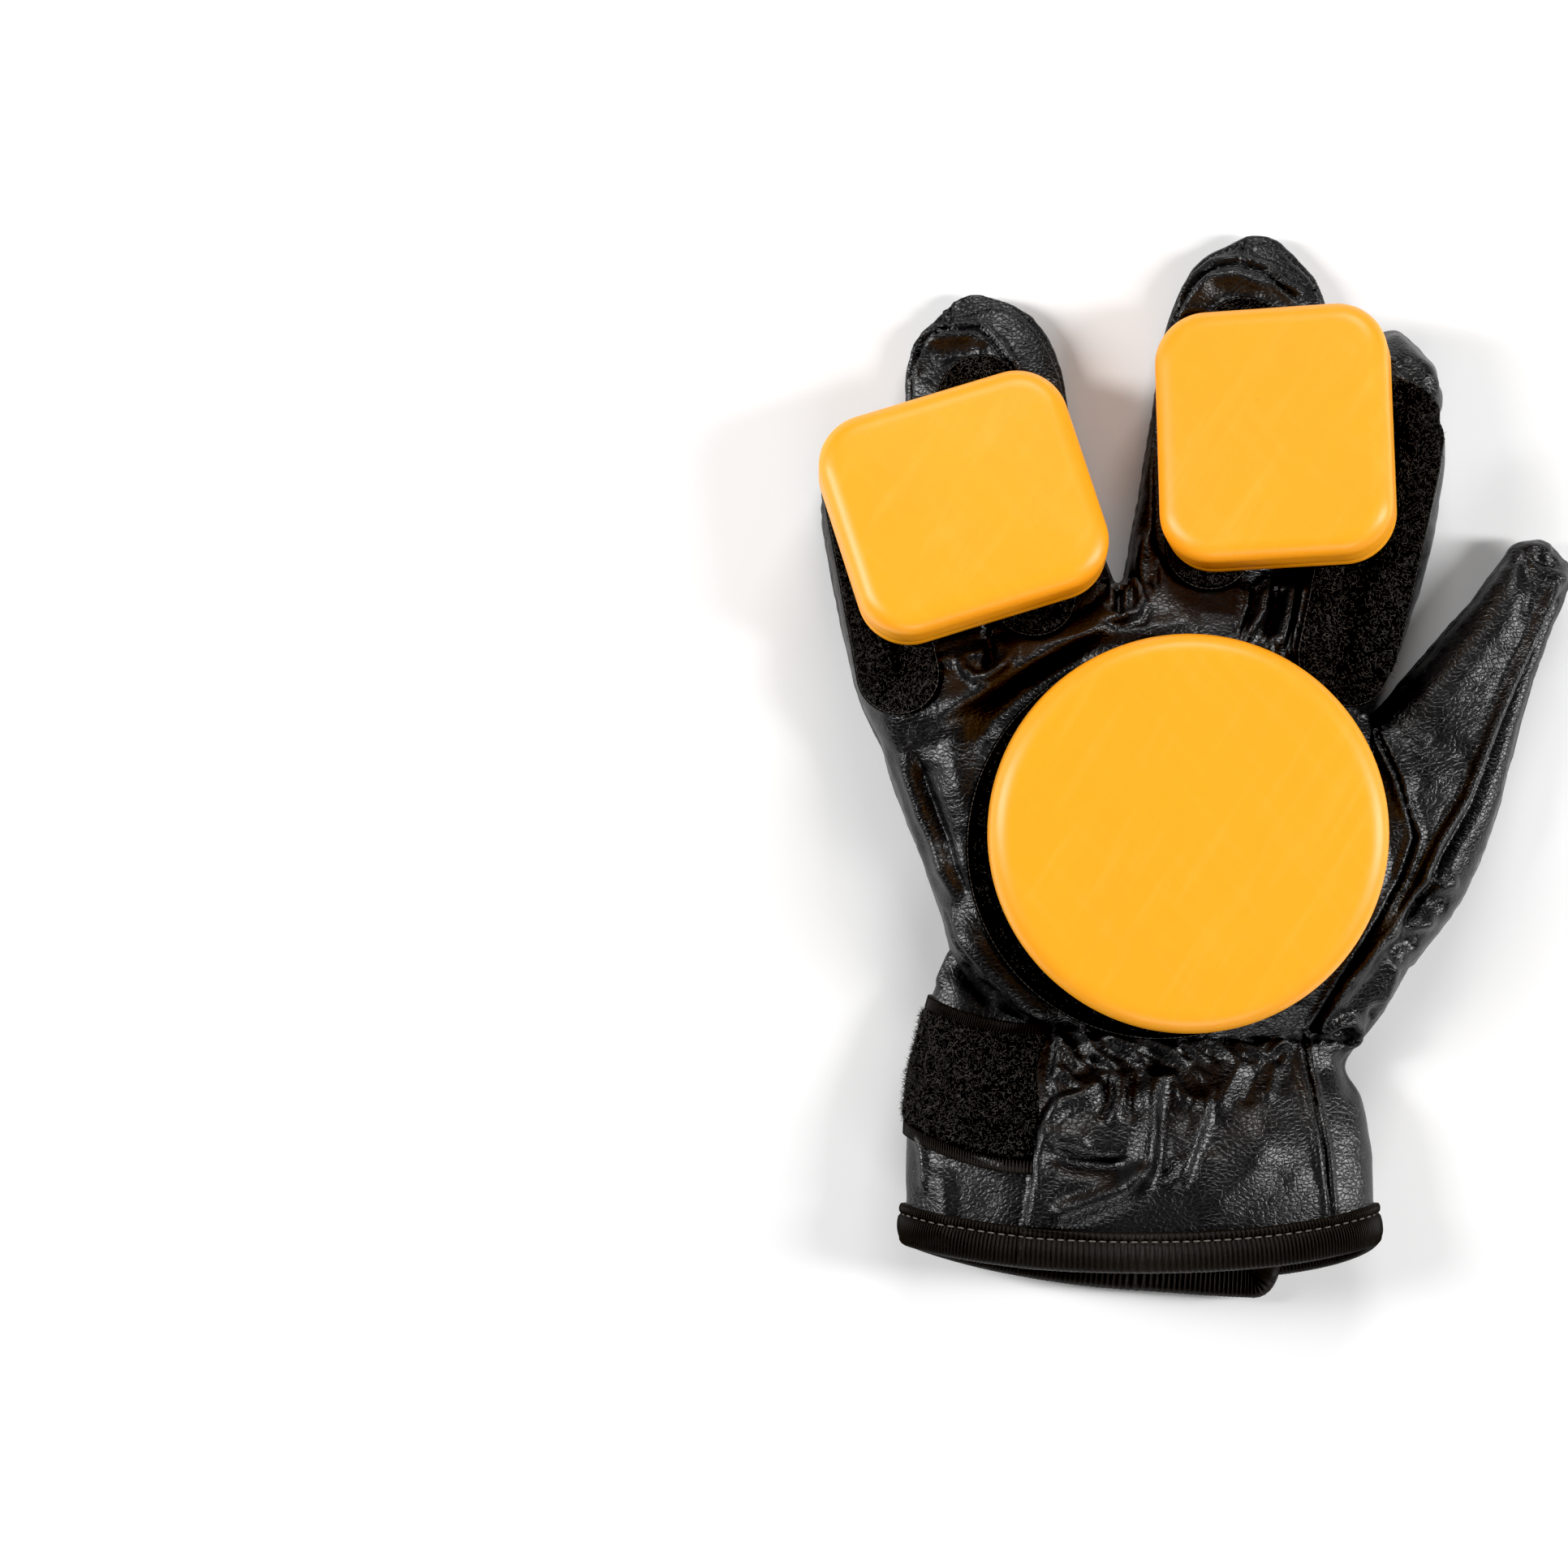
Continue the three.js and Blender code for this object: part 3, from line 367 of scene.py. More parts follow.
# Folds in the cuff, on the palm's side
CUFF_FOLDS = (
    # puckers of the elastic
    Fold((-31.4, -47.6, -29, -50, -26.9, -54.2, -24.5, -58.1), 1.9, 0.9),
    Fold((-28.6, -47.6, -26.4, -51, -24.2, -55.2), -1.2, 0.8),
    Fold((-25.4, -46.8, -23, -48.6, -20.6, -53.4, -15.9, -57.3), 2.1, 0.9),
    Fold((-22.4, -54.6, -19.6, -57.6), -1.6, 1.1),
    Fold((-19, -48, -16.7, -49.5, -12.8, -51.1, -8.3, -56.6), 2.1, 0.9),
    Fold((-17.6, -52.4, -14, -54.6, -11.4, -57.6), -1.5, 1.0),
    Fold((-12, -47.8, -9.9, -49.1, -3.6, -51.9, 1.9, -56.6), 2.0, 0.8),
    Fold((-9.4, -52.4, -5, -54.8, -2.4, -57.4), -1.4, 0.9),
    Fold((-2.4, -48.8, -0.7, -49.5, 3.2, -53.1, 6.2, -55.8), 1.5, 0.7),
    Fold((-1.4, -52.4, 1.6, -54.6), -1.0, 0.7),
    Fold((4.4, -50.8, 6.4, -49.8, 8.1, -50.3, 11.6, -53.4, 14, -55.8), 1.4, 0.7),
    Fold((6.4, -52.6, 9.4, -55.4), -1.0, 0.7),
    Fold((12.6, -51.4, 14.4, -50.2, 17, -51.4, 19, -53.1, 21, -54.8), 1.3, 0.7),
    Fold((15, -53.4, 17.6, -55.4), -0.9, 0.7),
    Fold((20.6, -54.6, 22.2, -51.8, 24.6, -50.2, 27.6, -52.4), 1.2, 0.7),
    Fold((22.6, -55.6, 24.6, -53), -0.9, 0.7),
    # folds that run down from them
    Fold((-31.6, -56.6, -28, -59.8, -24.6, -61.4, -22.6, -58.4), 1.5, 1.0),
    Fold((-30.4, -52, -28.4, -57.6, -26.4, -60), 1.2, 0.9),
    Fold((-21.5, -57, -20.9, -61.1, -23.9, -63.6, -29.9, -65.8, -33.4, -70), 2.6, 1.6),
    Fold((-18.4, -58, -18, -64, -20.6, -70), -1.6, 1.4),
    Fold((-14.5, -56.8, -15.3, -63.3, -17.6, -70.5), 2.2, 1.2),
    Fold((-11.2, -57, -11.8, -63, -12.6, -70), -1.3, 1.2),
    Fold((-7, -55.6, -9.2, -60, -9.8, -66), 0.9, 0.8),
    Fold((-4.5, -56.5, -7.7, -63.3, -8.5, -72.6, -9.4, -80.2, -14.4, -85.8), 3.6, 1.8, right_spread=2.6,
         taper=0.14),
    Fold((-4.6, -64, -5, -73, -5.6, -80, -8.6, -85.4), -1.5, 1.4),
    Fold((-9, -78.6, -13.6, -84.6, -23, -88.2, -33.6, -91.8), 3.0, 3.4, right_spread=2.4, taper=0.16),
    Fold((-3.8, -57.2, -1.8, -61.1, 1.7, -65.6), 1.5, 1.2),
    Fold((2.6, -56.4, 5.8, -59.4, 7.6, -63.6), 0.9, 1.0),
    Fold((6.9, -60.7, 3.9, -69.4, 0.8, -77.2, -2.3, -86.6), 2.6, 1.2, right_spread=2.8),
    Fold((3.4, -64, 0.8, -72, -2, -79), -1.1, 1.6),
    Fold((14.8, -54.1, 10.9, -60.4, 7.7, -67.4), 1.3, 1.7),
    Fold((18.4, -57, 16, -62.4, 14.6, -66), -0.9, 1.6),
    Fold((23, -55, 21.2, -60, 19.6, -65), 1.0, 1.5),
    Fold((20.5, -68, 14.6, -81.6, 3.1, -92.3), 1.3, 5.0),
    Fold((10, -68, 6, -78), -0.9, 3.0),
    Fold((-34.4, -75.4, -28, -77.9, -20, -79, -12.1, -79.3), -2.6, 1.7, right_spread=2.6),
    Fold((-36, -73, -30, -74, -22, -73.4), 1.4, 3.2),
    Fold((-36, -90, -28, -84, -18, -83), 0.9, 2.4),
    # the seam on the thumb's side, with a soft ridge to its left
    Fold((29.4, -47.9, 30.9, -57.2, 32.5, -68, 34.1, -77.3, 35.2, -92), 1.4, 0.5, Profile.SEAM),
    Fold((27, -51.4, 28.8, -59.2, 30.6, -68.9, 32, -77.3, 32.8, -86.5), 0.9, 0.9),
    Fold((38, -52, 41, -58, 42, -66), -0.8, 2.2),
    # the little finger's side, from the heel of the hand to the tape
    Fold((-56.6, -27.5, -57.6, -33, -58.6, -38.1), 1.0, 1.6),
    Fold((-53.4, -31, -50.4, -36.6, -44, -41), -2.0, 2.2),
    Fold((-64.6, -71, -62.6, -77, -61.8, -86.9), 1.1, 1.0),
    Fold((-60, -74.4, -50, -77.4, -40, -81.4), 0.8, 2.0),
    Fold((-58.4, -80, -57.6, -87, -57, -100), 1.3, 2.2, right_spread=7.0),
)
FRONT_EDGE = Fold((-38.6, -94.6, -36.6, -83, -36.2, -78.4, -35.7, -74.6, -34.8, -70.8, -32.8, -66.8, -30.8,
                  -63.9, -32.2, -61, -31.4, -57, -30.8, -54.1, -30.4, -46.6), 2.9, 0.55, Profile.STEP,
                  right_spread=11.0, taper=0.02)


@dataclass(frozen=True)
class Digit:
    """A finger or the thumb, by shares of the hand's sizes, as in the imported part."""

    across: float
    root: float
    lean: float
    length: float
    wide: float
    thick: float
    taper: float
    bow: float

    def middle(self, along: np.ndarray) -> np.ndarray:
        """Works out the middle line of the digit.

        Args:
            along: shares of its length.

        Returns:
            The x and y of the middle there.
        """
        lean = math.radians(self.lean)
        aside = self.bow * PALM_WIDTH * np.sin(np.pi * along)
        reach = self.length * MIDDLE_FINGER_LENGTH * along
        x = self.across * PALM_WIDTH + reach * math.sin(lean) + aside * math.cos(lean)
        y = self.root * KNUCKLE_REACH + reach * math.cos(lean) - aside * math.sin(lean)
        return np.stack([x, y], axis=-1)

    def top(self, along: np.ndarray, thick: np.ndarray, lift: np.ndarray) -> np.ndarray:
        """Returns the height of the digit's leather, from its thickness and lift at shares of its length."""
        return self.thick * PALM_THICKNESS * (thick * (1.0 - self.taper * along) + lift)


DIGITS = {
    "pinky": Digit(-0.49, 0.267, -10.6, 0.723, 0.202, 0.984, 0.53, -0.02),
    "ring": Digit(-0.194, 0.467, -14.8, 0.914, 0.306, 0.919, 0.71, -0.026),
    "middle": Digit(0.005, 0.5, 10.3, 1.0, 0.316, 0.897, 0.65, 0.0),
    "index": Digit(0.232, 0.367, 12.4, 0.866, 0.25, 1.0, 0.24, 0.048),
    "thumb": Digit(0.327, -0.4, 28.2, 0.918, 0.371, 0.871, 0.4, -0.004),
}

# Sections of a finger and of the thumb: share of its length, then of its width and thickness, and its lift
FINGER_FORM = np.array([
    (0, 0.66, 0.88, 0), (0.2, 0.94, 1, 0), (0.42, 0.99, 1, 0), (0.62, 1, 1, 0), (0.8, 1, 1, 0),
    (0.89, 0.88, 0.93, 0.02), (0.95, 0.67, 0.76, 0.05), (1, 0.26, 0.3, 0.14),
])
THUMB_FORM = np.array([
    (0, 0.8, 0.96, 0), (0.18, 0.95, 1.04, 0), (0.36, 0.88, 1.06, 0), (0.52, 0.71, 1.04, 0),
    (0.66, 0.58, 1, 0), (0.8, 0.46, 0.98, 0.02), (0.92, 0.38, 0.9, 0.05), (0.975, 0.3, 0.66, 0.12),
    (1, 0.14, 0.3, 0.2),
])
# Sections of the hand: share of the way from wrist to knuckles, left and right by its width, top by thickness
HAND_FORM = np.array([
    (0, -0.275, 0.362, 0.74), (0.046, -0.345, 0.392, 0.84), (0.111, -0.405, 0.428, 0.93),
    (0.185, -0.442, 0.462, 1), (0.278, -0.466, 0.475, 1.03), (0.389, -0.502, 0.468, 1.03),
    (0.5, -0.54, 0.435, 1.02), (0.612, -0.578, 0.388, 1), (0.714, -0.597, 0.37, 0.98),
    (0.816, -0.612, 0.378, 0.94), (0.91, -0.56, 0.38, 0.87), (1, -0.31, 0.36, 0.74),
])
# Sections of the cuff from the elastic to the hem, by its own width and height
CUFF_FORM = np.array([
    (-0.5, -0.4, 0.479, 0.66), (-0.17, -0.452, 0.479, 0.66), (0, -0.474, 0.476, 0.68),
    (0.15, -0.488, 0.441, 0.74), (0.3, -0.495, 0.469, 0.84), (0.5, -0.502, 0.487, 0.94),
    (0.8, -0.506, 0.497, 1), (1, -0.507, 0.499, 1),
])


def column(table: np.ndarray, index: int, along: np.ndarray) -> np.ndarray:
    """Reads a column of a table of sections along a smooth curve through its rows.

    Args:
        table: rows that start with a share of the length.
        index: which column to read.
        along: shares of the length to read it at.

    Returns:
        The column's values.
    """
    places, values = table[:, 0], table[:, index]
    slopes = np.gradient(values, places)
    row = np.clip(np.searchsorted(places, along, side="right") - 1, 0, len(places) - 2)
    span = places[row + 1] - places[row]
    share = np.clip((along - places[row]) / span, 0.0, 1.0)
    rise = share * share * (3.0 - 2.0 * share)
    leaving = share * (1.0 - share) ** 2 * span
    arriving = share * share * (share - 1.0) * span
    held = values[row] * (1.0 - rise) + values[row + 1] * rise
    return held + slopes[row] * leaving + slopes[row + 1] * arriving


def rounded(angle: np.ndarray, power: float) -> tuple[np.ndarray, np.ndarray]:
    """Finds points of a rounded section.

    Args:
        angle: angles round the section.
        power: how square it is, where 2 is an ellipse.

    Returns:
        The points as shares of the section's half width and half height.
    """
    across = np.copysign(np.abs(np.cos(angle)) ** (2.0 / power), np.cos(angle))
    up = np.copysign(np.abs(np.sin(angle)) ** (2.0 / power), np.sin(angle))
    return across, up


@dataclass
class Surface:
    """A mesh in the making: its points, in millimetres, and its faces."""

    points: np.ndarray
    faces: list

    @classmethod
    def grid(cls, points: np.ndarray, closed: bool = False) -> "Surface":
        """Lays faces over a grid of points.

        Args:
            points: rows by columns by 3.
            closed: whether the last column joins the first one.

        Returns:
            The surface.
        """
        rows, columns = points.shape[:2]
        numbers = np.arange(rows * columns).reshape(rows, columns)
        after = np.roll(numbers, -1, axis=1)
        if not closed:
            numbers, after = numbers[:, :-1], after[:, :-1]
        quads = np.stack([numbers[:-1], after[:-1], after[1:], numbers[1:]], axis=-1)
        return cls(points.reshape(-1, 3), quads.reshape(-1, 4).tolist())

    @classmethod
    def closed_loft(cls, rings: np.ndarray) -> "Surface":
        """Joins rings of points, and closes both ends with a fan.

        Args:
            rings: rings by points by 3.

        Returns:
            The closed surface.
        """
        made = cls.grid(rings, closed=True)
        count = rings.shape[1]
        last = (len(rings) - 1) * count
        ends = np.stack([rings[0].mean(0), rings[-1].mean(0)])
        tips = (len(made.points), len(made.points) + 1)
        made.points = np.concatenate([made.points, ends])
        for step in range(count):
            after = (step + 1) % count
            made.faces.append([after, step, tips[0]])
            made.faces.append([last + step, last + after, tips[1]])
        return made

    @classmethod
    def sheet(cls, outer: np.ndarray, inner: np.ndarray) -> "Surface":
        """Closes the space between two grids of points that lie face to face.

        Args:
            outer: rows by columns by 3.
            inner: as many points, on the other face.

        Returns:
            The closed surface.
        """
        rows, columns = outer.shape[:2]
        rim = [(0, place) for place in range(columns)]
        rim += [(row, columns - 1) for row in range(1, rows)]
        rim += [(rows - 1, place) for place in range(columns - 2, -1, -1)]
        rim += [(row, 0) for row in range(rows - 2, 0, -1)]
        top = cls.grid(outer)
        bottom = cls.grid(inner)
        shift = len(top.points)
        faces = top.faces + [[shift + index for index in reversed(face)] for face in bottom.faces]
        edge = [row * columns + place for row, place in rim]
        for a, b in zip(edge, edge[1:] + edge[:1]):
            faces.append([b, a, shift + a, shift + b])
        return cls(np.concatenate([top.points, bottom.points]), faces)

    @classmethod
    def joined(cls, parts: list["Surface"]) -> "Surface":
        """Puts several surfaces into one.

        Args:
            parts: the surfaces.

        Returns:
            One surface with all their points and faces.
        """
        faces = []
        shift = 0
        for part in parts:
            faces += [[shift + index for index in face] for face in part.faces]
            shift += len(part.points)
        return cls(np.concatenate([part.points for part in parts]), faces)

    def mesh(self, name: str) -> bpy.types.Mesh:
        """Makes Blender's mesh of the surface.

        Args:
            name: the mesh's name.

        Returns:
            The mesh, still in millimetres.
        """
        mesh = bpy.data.meshes.new(name)
        mesh.from_pydata(self.points.tolist(), [], self.faces)
        mesh.validate()
        mesh.update()
        return mesh

    def modified(self, *modifiers: tuple[str, dict]) -> "Surface":
        """Runs Blender modifiers over the surface.

        Args:
            modifiers: each one's type and its settings.

        Returns:
            The surface that comes out.
        """
        mesh = self.mesh("working")
        holder = bpy.data.objects.new("working", mesh)
        bpy.context.scene.collection.objects.link(holder)
        for kind, settings in modifiers:
            modifier = holder.modifiers.new(kind, kind)
            for key, value in settings.items():
                setattr(modifier, key, value)
        bpy.context.view_layer.update()
        result = bpy.data.meshes.new_from_object(holder.evaluated_get(bpy.context.evaluated_depsgraph_get()))
        made = Surface.of_mesh(result)
        bpy.data.objects.remove(holder)
        bpy.data.meshes.remove(mesh)
        bpy.data.meshes.remove(result)
        return made

    @classmethod
    def of_mesh(cls, mesh: bpy.types.Mesh) -> "Surface":
        """Reads a Blender mesh back.

        Args:
            mesh: the mesh.

        Returns:
            Its surface.
        """
        points = np.zeros(len(mesh.vertices) * 3)
        mesh.vertices.foreach_get("co", points)
        return cls(points.reshape(-1, 3), [list(face.vertices) for face in mesh.polygons])

    def normals(self) -> np.ndarray:
        """Finds which way the surface faces.

        Returns:
            The direction at each point.
        """
        mesh = self.mesh("working")
        normals = np.zeros(len(mesh.vertices) * 3)
        mesh.vertices.foreach_get("normal", normals)
        bpy.data.meshes.remove(mesh)
        return normals.reshape(-1, 3)

    def part(self, keep: np.ndarray) -> "Surface":
        """Takes some of the surface's faces.

        Args:
            keep: which faces to take.

        Returns:
            The surface of those faces.
        """
        faces = [face for face, kept in zip(self.faces, keep) if kept]
        used = np.unique(np.concatenate([np.array(face) for face in faces]))
        place = np.zeros(len(self.points), int)
        place[used] = np.arange(len(used))
        return Surface(self.points[used], [[int(place[index]) for index in face] for face in faces])

    def centres(self) -> np.ndarray:
        """Returns the middle of each face."""
        return np.array([self.points[face].mean(0) for face in self.faces])

    def tree(self) -> BVHTree:
        """Returns a tree for finding places on the surface."""
        return BVHTree.FromPolygons(self.points.tolist(), self.faces)


def put_in_scene(
    name: str, surface: Surface, finish: "Finish", nodes: tuple[str, ...]
) -> bpy.types.Object:
    """Makes a piece of the glove out of a surface.

    Args:
        name: the piece's name.
        surface: its shape, in millimetres.
        finish: what it is made of.
        nodes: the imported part's nodes that it stands for.

    Returns:
        The piece, smooth shaded and riding on the glove's body.
    """
    mesh = surface.mesh(name)
    mesh.vertices.foreach_set("co", (surface.points[: len(mesh.vertices)] * METRES).ravel())
    mesh.shade_smooth()
    mesh.update()
    piece = bpy.data.objects.new(name, mesh)
    bpy.context.scene.collection.objects.link(piece)
    mesh.materials.append(finish.material())
    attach(piece, "root")
    if nodes:
        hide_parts(*nodes)
    log.info("%s: %d triangles", name, sum(len(face) - 2 for face in surface.faces))
    return piece


class Number:
    """A shader socket that carries one number, for maths written as Python expressions."""

    def __init__(self, graph: "Graph", socket: bpy.types.NodeSocket) -> None:
        """Wraps a socket of a graph."""
        self.graph = graph
        self.socket = socket

    def _with(self, operation: str, first: object, second: object) -> "Number":
        """Returns the result of a Math node over two numbers."""
        node = self.graph.node("ShaderNodeMath", {"operation": operation}, {0: first, 1: second})
        return Number(self.graph, node.outputs[0])

    def __add__(self, other: object) -> "Number":
        """Returns self + other."""
        return self._with("ADD", self, other)

    __radd__ = __add__

    def __sub__(self, other: object) -> "Number":
        """Returns self - other."""
        return self._with("SUBTRACT", self, other)

    def __rsub__(self, other: object) -> "Number":
        """Returns other - self."""
        return self._with("SUBTRACT", other, self)

    def __mul__(self, other: object) -> "Number":
        """Returns self * other."""
        return self._with("MULTIPLY", self, other)

    __rmul__ = __mul__


@dataclass
class Graph:
    """The nodes of one material."""

    material: bpy.types.Material
    shader: bpy.types.Node = field(init=False)

    def __post_init__(self) -> None:
        """Clears the material and gives it one shader."""
        self.material.use_nodes = True
        self.material.node_tree.nodes.clear()
        self.shader = self.node("ShaderNodeBsdfPrincipled", {}, {})
        self.node("ShaderNodeOutputMaterial", {}, {"Surface": self.shader.outputs[0]})

    def node(self, kind: str, settings: dict, sockets: dict) -> bpy.types.Node:
        """Adds a node.

        Args:
            kind: Blender's name for the node.
            settings: its own settings, which are set first.
            sockets: values or links of its input sockets, by name or number.

        Returns:
            The node.
        """
        made = self.material.node_tree.nodes.new(kind)
        for key, value in settings.items():
            setattr(made, key, value)
        for key, value in sockets.items():
            self.feed(made.inputs[key], value)
        return made

    def feed(self, socket: bpy.types.NodeSocket, value: object) -> None:
        """Links a socket to another one, or sets it.

        Args:
            socket: the input socket.
            value: a Number, a socket or what the socket is set to.
        """
        source = value.socket if isinstance(value, Number) else value
        if isinstance(source, bpy.types.NodeSocket):
            self.material.node_tree.links.new(source, socket)
        else:
            socket.default_value = source

    def place(self, scale: tuple = (1.0, 1.0, 1.0), turn: float = 0.0) -> bpy.types.NodeSocket:
        """Reads the place on the piece.

        Args:
            scale: how the place is stretched after its turn.
            turn: its turn about the vertical, in radians.

        Returns:
            The place's socket.
        """
        where = self.node("ShaderNodeTexCoord", {}, {}).outputs["Object"]
        for key, value in (("Rotation", (0.0, 0.0, turn)), ("Scale", scale)):
            where = self.node("ShaderNodeMapping", {}, {"Vector": where, key: value}).outputs[0]
        return where

    def noise(
        self, where: bpy.types.NodeSocket, size: float, detail: float = 3.0, rough: float = 0.55
    ) -> Number:
        """Returns cloudy noise whose swells are size millimetres apart."""
        sockets = {"Vector": where, "Scale": 1.0 / (size * METRES), "Detail": detail, "Roughness": rough}
        return Number(self, self.node("ShaderNodeTexNoise", {}, sockets).outputs[0])

    def cells(self, where: bpy.types.NodeSocket, size: float, feature: str = "F1") -> Number:
        """Adds a cell pattern.

        Args:
            where: the place's socket.
            size: how wide a cell is, in millimetres.
            feature: what is measured: F1 for its middle, DISTANCE_TO_EDGE for its edge.

        Returns:
            The distance from that.
        """
        sockets = {"Vector": where, "Scale": 1.0 / (size * METRES)}
        made = self.node("ShaderNodeTexVoronoi", {"feature": feature}, sockets)
        return Number(self, made.outputs["Distance"])

    def ramp(self, value: Number, stops: tuple) -> Number:
        """Passes a number through a ramp.

        Args:
            value: the number.
            stops: the ramp's stops, each a place and a grey value.

        Returns:
            The ramp's number.
        """
        made = self.node("ShaderNodeValToRGB", {}, {0: value})
        elements = made.color_ramp.elements
        while len(elements) < len(stops):
            elements.new(1.0)
        for element, (place, grey) in zip(elements, stops):
            element.position = place
            element.color = (grey, grey, grey, 1.0)
        return Number(self, made.outputs[0])

    def blend(self, share: object, first: object, second: object) -> bpy.types.NodeSocket:
        """Returns a colour between first and second, by share."""
        made = self.node("ShaderNodeMix", {"data_type": "RGBA"}, {0: share, 6: first, 7: second})
        return made.outputs[2]

    def bump(self, height: Number, depth: float) -> bpy.types.NodeSocket:
        """Returns a normal that shows height as relief of depth millimetres."""
        sockets = {"Height": height, "Distance": depth * METRES, "Strength": 1.0}
        return self.node("ShaderNodeBump", {}, sockets).outputs[0]

    def dress(self, **sockets: object) -> None:
        """Sets or links the shader's sockets, named with underscores for spaces."""
        for key, value in sockets.items():
            self.feed(self.shader.inputs[key.replace("_", " ").title().replace("Ior", "IOR")], value)


@dataclass(frozen=True)
class Finish:
    """What a piece is made of."""

    name: str

    def material(self) -> bpy.types.Material:
        """Makes the finish's material at its first use.

        Returns:
            The material.
        """
        found = bpy.data.materials.get(self.name)
        if found is None:
            found = bpy.data.materials.new(self.name)
            self.paint(Graph(found))
        return found

    def paint(self, graph: Graph) -> None:
        """Builds the finish out of a graph's nodes."""
        raise NotImplementedError


@dataclass(frozen=True)
class Leather(Finish):
    """Soft black glove leather: a pebbled grain, finer on the stretched places, with a semi-gloss face."""

    dark: Colour = (0.0035, 0.0032, 0.0034, 1.0)
    worn: Colour = (0.007, 0.0066, 0.007, 1.0)
    grain: float = 0.95
    grain_depth: float = 0.086
    crease_share: float = 1.25
    creases: tuple = ((0.0, 0.0), (0.16, 0.85), (0.45, 1.0))
    wear: tuple = ((0.42, 0.0), (0.68, 1.0))
    stretch: tuple = (0.8, 1.2, 1.0)
    waver_size: float = 2.6
    waver_reach: float = 0.0005
    waver_scale: float = 600.0
    fine_size: float = 0.35
    cloud_size: float = 14.0
    roughness: float = 0.31
    gloss: float = 0.45

    def paint(self, graph: Graph) -> None:
        """Builds the grain, its gloss and its wear out of a graph's nodes.

        Args:
            graph: the material's nodes.
        """
        where = graph.place(self.stretch)
        waver = graph.noise(where, self.waver_size, 2.0)
        sockets = {"Vector": where, "Scale": self.waver_scale, "Detail": 1.0}
        spread = graph.node("ShaderNodeTexNoise", {}, sockets).outputs["Color"]
        moved = {0: spread, 1: (self.waver_reach,) * 3, 2: where}
        uneven = graph.node("ShaderNodeVectorMath", {"operation": "MULTIPLY_ADD"}, moved).outputs[0]
        pebbles = graph.cells(uneven, self.grain)
        creases = graph.cells(uneven, self.grain * self.crease_share, "DISTANCE_TO_EDGE")
        valley = graph.ramp(creases, self.creases)
        fine = graph.noise(where, self.fine_size, 2.0)
        cloud = graph.noise(where, self.cloud_size, 3.0)
        height = valley * 0.6 + (1.0 - pebbles) * 0.7 + fine * 0.06 + waver * 0.35
        wear = graph.ramp(cloud, self.wear) * valley
        graph.dress(
            base_color=graph.blend(wear * 0.8 + fine * 0.15, self.dark, self.worn),
            roughness=self.roughness - valley * 0.06 + cloud * 0.1,
            specular_ior_level=self.gloss,
            normal=graph.bump(height, self.grain_depth),
        )


@dataclass(frozen=True)
class Pile(Finish):
    """Black brushed loop pile: matt, with paler fibres scattered over it."""

    dark: Colour = (0.0022, 0.0019, 0.0017, 1.0)
    pale: Colour = (0.026, 0.022, 0.019, 1.0)
    fibre: float = 0.5
    clump: float = 3.2
    flecks: tuple = ((0.55, 0.0), (0.72, 1.0))
    depth: float = 0.5
    roughness: float = 0.95
    gloss: float = 0.04

    def paint(self, graph: Graph) -> None:
        """Builds the tangle of fibres out of a graph's nodes.

        Args:
            graph: the material's nodes.
        """
        where = graph.place()
        tangle = graph.noise(where, self.fibre, 3.0, 0.7)
        clumps = graph.noise(where, self.clump, 2.0)
        graph.dress(
            base_color=graph.blend(graph.ramp(tangle, self.flecks) * clumps, self.dark, self.pale),
            roughness=self.roughness,
            specular_ior_level=self.gloss,
            normal=graph.bump(tangle + clumps * 0.6, self.depth),
        )


@dataclass(frozen=True)
class HookTape(Finish):
    """Black moulded hook tape: rows of stiff hooks on a plain backing."""

    dark: Colour = (0.006, 0.006, 0.006, 1.0)
    pale: Colour = (0.03, 0.03, 0.03, 1.0)
    pitch: float = 1.3
    heads: tuple = ((0.0, 1.0), (0.3, 0.6), (0.55, 0.0))
    depth: float = 0.35
    roughness: float = 0.75

    def paint(self, graph: Graph) -> None:
        """Builds the rows of hooks out of a graph's nodes.

        Args:
            graph: the material's nodes.
        """
        heads = graph.ramp(graph.cells(graph.place(), self.pitch), self.heads)
        graph.dress(
            base_color=graph.blend(heads, self.dark, self.pale),
            roughness=self.roughness - heads * 0.2,
            normal=graph.bump(heads, self.depth),
        )


@dataclass(frozen=True)
class Grosgrain(Finish):
    """Ribbed tape woven of brown-black yarn."""

    dark: Colour = (0.0012, 0.0008, 0.0005, 1.0)
    pale: Colour = (0.017, 0.012, 0.008, 1.0)
    yarn: float = 0.45
    cloud: float = 9.0
    depth: float = 0.08
    roughness: float = 0.5
    gloss: float = 0.16

    def paint(self, graph: Graph) -> None:
        """Builds the yarn's small unevenness, over the ribs that are in the mesh.

        Args:
            graph: the material's nodes.
        """
        where = graph.place()
        yarn = graph.noise(where, self.yarn, 3.0, 0.65)
        cloud = graph.noise(where, self.cloud, 2.0)
        graph.dress(
            base_color=graph.blend(yarn * 0.8 + cloud * 0.3 - 0.15, self.dark, self.pale),
            roughness=self.roughness,
            specular_ior_level=self.gloss,
            normal=graph.bump(yarn, self.depth),
        )


